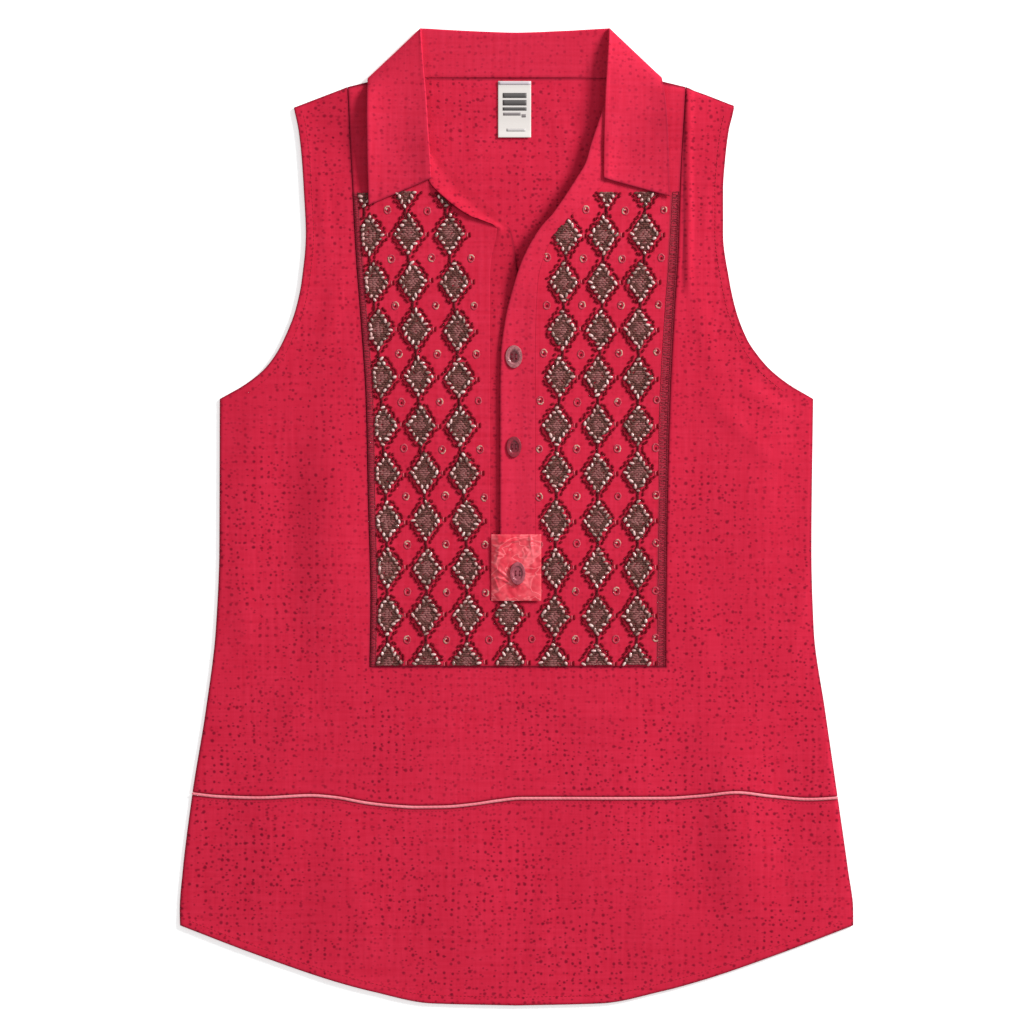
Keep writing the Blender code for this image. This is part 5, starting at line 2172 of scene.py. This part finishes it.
class BLOUSE_OT_front(bpy.types.Operator):
    """Makes the front round the insert, and its hem band"""

    bl_idname = "blouse.front"
    bl_label = "Front"

    def execute(self, context):
        body, hem = make_front(finish_named("red_slub_cotton"))
        dress(body, "red_cotton", "front_body")
        dress(hem, "red_cotton", "front_hem_band")
        return {"FINISHED"}


class BLOUSE_OT_insert(bpy.types.Operator):
    """Makes the insert with its beads, stitches and borders"""

    bl_idname = "blouse.insert"
    bl_label = "Embroidered Insert"

    def execute(self, context):
        cloth = make_insert(finish_named("insert_cotton"))
        dress(cloth, "embroidered_cotton", "bib")
        thread = finish_named("cotton_thread")
        sewn = make_embroidery(context.scene.blouse_sizes, finish_named("glass_beads"), thread)
        for piece in sewn:
            dress(piece, "embroidered_cotton")
        return {"FINISHED"}


class BLOUSE_OT_bands(bpy.types.Operator):
    """Makes the two bands of the placket and neck"""

    bl_idname = "blouse.bands"
    bl_label = "Placket Bands"

    def execute(self, context):
        under, over = make_bands(finish_named("under_slub_cotton"),
                                 finish_named("collar_slub_cotton"))
        dress(under, "red_cotton", "band_under")
        dress(over, "red_cotton", "band_over")
        return {"FINISHED"}


class BLOUSE_OT_collar(bpy.types.Operator):
    """Makes the turned-down collar"""

    bl_idname = "blouse.collar"
    bl_label = "Collar"

    def execute(self, context):
        collar = dress(make_collar(finish_named("collar_slub_cotton")), "collar_cotton",
                       "collar")
        return {"FINISHED"}


class BLOUSE_OT_piping(bpy.types.Operator):
    """Makes the pale piping in the front and back hem seams"""

    bl_idname = "blouse.piping"
    bl_label = "Piping"

    def execute(self, context):
        finish = finish_named("satin_cord")
        front = make_piping("piping_front", lambda x, y: front_z(x, y) + front_swell(x, y), finish)
        back = make_piping("piping_back", lambda x, y: back_z(x, y) + back_swell(x, y), finish)
        dress(front, "pink_piping", "piping_front")
        dress(back, "pink_piping", "piping_back")
        return {"FINISHED"}


class BLOUSE_OT_label(bpy.types.Operator):
    """Makes the neck label, with plain bars where words would be"""

    bl_idname = "blouse.label"
    bl_label = "Neck Label"

    def execute(self, context):
        weaves = {"lilac": "lilac_weave", "bar": "dark_weave", "line": "grey_weave",
                  "pale": "pale_weave"}
        label, bars = make_label(
            finish_named("white_tape"),
            {kind: finish_named(weave) for kind, weave in weaves.items()},
        )
        dress(label, "woven_label", "neck_label")
        for bar in bars:
            dress(bar, "woven_label")
        return {"FINISHED"}


class BLOUSE_OT_patch(bpy.types.Operator):
    """Makes the crinkled satin patch at the foot of the placket"""

    bl_idname = "blouse.patch"
    bl_label = "Placket Patch"

    def execute(self, context):
        patch = dress(make_patch(finish_named("crinkled_satin")), "shiny_satin",
                      "placket_patch")
        return {"FINISHED"}


class BLOUSE_OT_buttons(bpy.types.Operator):
    """Makes the three oval buttons and the thread that holds them"""

    bl_idname = "blouse.buttons"
    bl_label = "Buttons"

    def execute(self, context):
        thread = finish_named("sewing_thread")
        # The top and the middle button are alike: the top one's paler shells and the middle one's
        # darker ones are lit and shaded copies of one colour, painted light.
        for node, rim, well in (
            ("button_top", "rose_shell", "brown_shell"),
            ("button_middle", "red_shell", "wine_shell"),
            ("button_foot", "grey_shell", "grey_shell"),
        ):
            button, sewn = make_button(node, finish_named(rim), finish_named(well), thread)
            dress(button, "dyed_button", node)
            dress(sewn, "dyed_button")
        return {"FINISHED"}


class BLOUSE_OT_topstitching(bpy.types.Operator):
    """Makes the lines of topstitching"""

    bl_idname = "blouse.topstitching"
    bl_label = "Topstitching"

    def execute(self, context):
        for piece in make_topstitching(context.scene.blouse_sizes,
                                       finish_named("sewing_thread")):
            dress(piece, "red_cotton")
        return {"FINISHED"}


FLOOR_SIZE = 14.0
FLOOR_DROP = 0.4
KEY_PLACE = (2.9, 1.95, 1.7)
KEY_SIZE = 1.2
PICTURE_CENTRE = (-3.7, 4.1)
WHITE = (1.0, 1.0, 1.0, 1.0)


class BLOUSE_OT_stage(bpy.types.Operator):
    """Makes the floor, the light and the camera"""

    bl_idname = "blouse.stage"
    bl_label = "Stage"

    def execute(self, context):
        stage = context.scene.blouse_stage
        bpy.ops.object.select_all(action="DESELECT")
        bpy.ops.mesh.primitive_plane_add(size=FLOOR_SIZE, location=(0.0, 0.0, -FLOOR_DROP * MM))
        floor = context.object
        floor.name = "floor"
        floor.data.materials.append(finish_named("light_table"))
        bpy.ops.object.light_add(type="AREA", location=KEY_PLACE)
        key = context.object
        key.name = "key_light"
        key.data.shape = "DISK"
        key.data.size = KEY_SIZE
        key.data.energy = stage.key_power
        key.rotation_euler = (-Vector(KEY_PLACE)).to_track_quat("-Z", "Y").to_euler()
        world = bpy.data.worlds.new("even_light")
        world.use_nodes = True
        even = world.node_tree.nodes["Background"].inputs
        even["Color"].default_value = WHITE
        even["Strength"].default_value = stage.fill_strength
        context.scene.world = world
        context.scene.view_settings.view_transform = "Standard"
        camera_data = bpy.data.cameras.new("camera")
        camera_data.lens = 100.0
        camera_data.sensor_width = 36.0
        camera = bpy.data.objects.new("camera", camera_data)
        across, up = PICTURE_CENTRE
        camera.location = (across * MM, up * MM, stage.camera_height)
        context.collection.objects.link(camera)
        context.scene.camera = camera
        return {"FINISHED"}


class VIEW3D_PT_blouse(bpy.types.Panel):
    """Lists the blouse's pieces and settings"""

    bl_label = "Sleeveless Blouse"
    bl_idname = "VIEW3D_PT_blouse"
    bl_space_type = "VIEW_3D"
    bl_region_type = "UI"
    bl_category = "Blouse"

    def draw(self, context):
        column = self.layout.column()
        for group in (context.scene.blouse_sizes, context.scene.blouse_stage):
            for key in group.bl_rna.properties.keys():
                if key not in ("rna_type", "name"):
                    column.prop(group, key)
        for piece in PIECES:
            column.operator(piece.bl_idname)


PIECES = (
    BLOUSE_OT_back,
    BLOUSE_OT_front,
    BLOUSE_OT_insert,
    BLOUSE_OT_bands,
    BLOUSE_OT_collar,
    BLOUSE_OT_piping,
    BLOUSE_OT_label,
    BLOUSE_OT_patch,
    BLOUSE_OT_buttons,
    BLOUSE_OT_topstitching,
    BLOUSE_OT_stage,
)
CLASSES = (BlouseSizes, BlouseStage, *PIECES, VIEW3D_PT_blouse)


def register():
    for each in CLASSES:
        bpy.utils.register_class(each)
    bpy.types.Scene.blouse_sizes = bpy.props.PointerProperty(type=BlouseSizes)
    bpy.types.Scene.blouse_stage = bpy.props.PointerProperty(type=BlouseStage)


def unregister():
    del bpy.types.Scene.blouse_stage
    del bpy.types.Scene.blouse_sizes
    for each in reversed(CLASSES):
        bpy.utils.unregister_class(each)


def main():
    register()
    bpy.ops.blouse.back()
    bpy.ops.blouse.front()
    bpy.ops.blouse.insert()
    bpy.ops.blouse.bands()
    bpy.ops.blouse.collar()
    bpy.ops.blouse.piping()
    bpy.ops.blouse.label()
    bpy.ops.blouse.patch()
    bpy.ops.blouse.buttons()
    bpy.ops.blouse.topstitching()
    bpy.ops.blouse.stage()


if __name__ == "__main__":
    main()
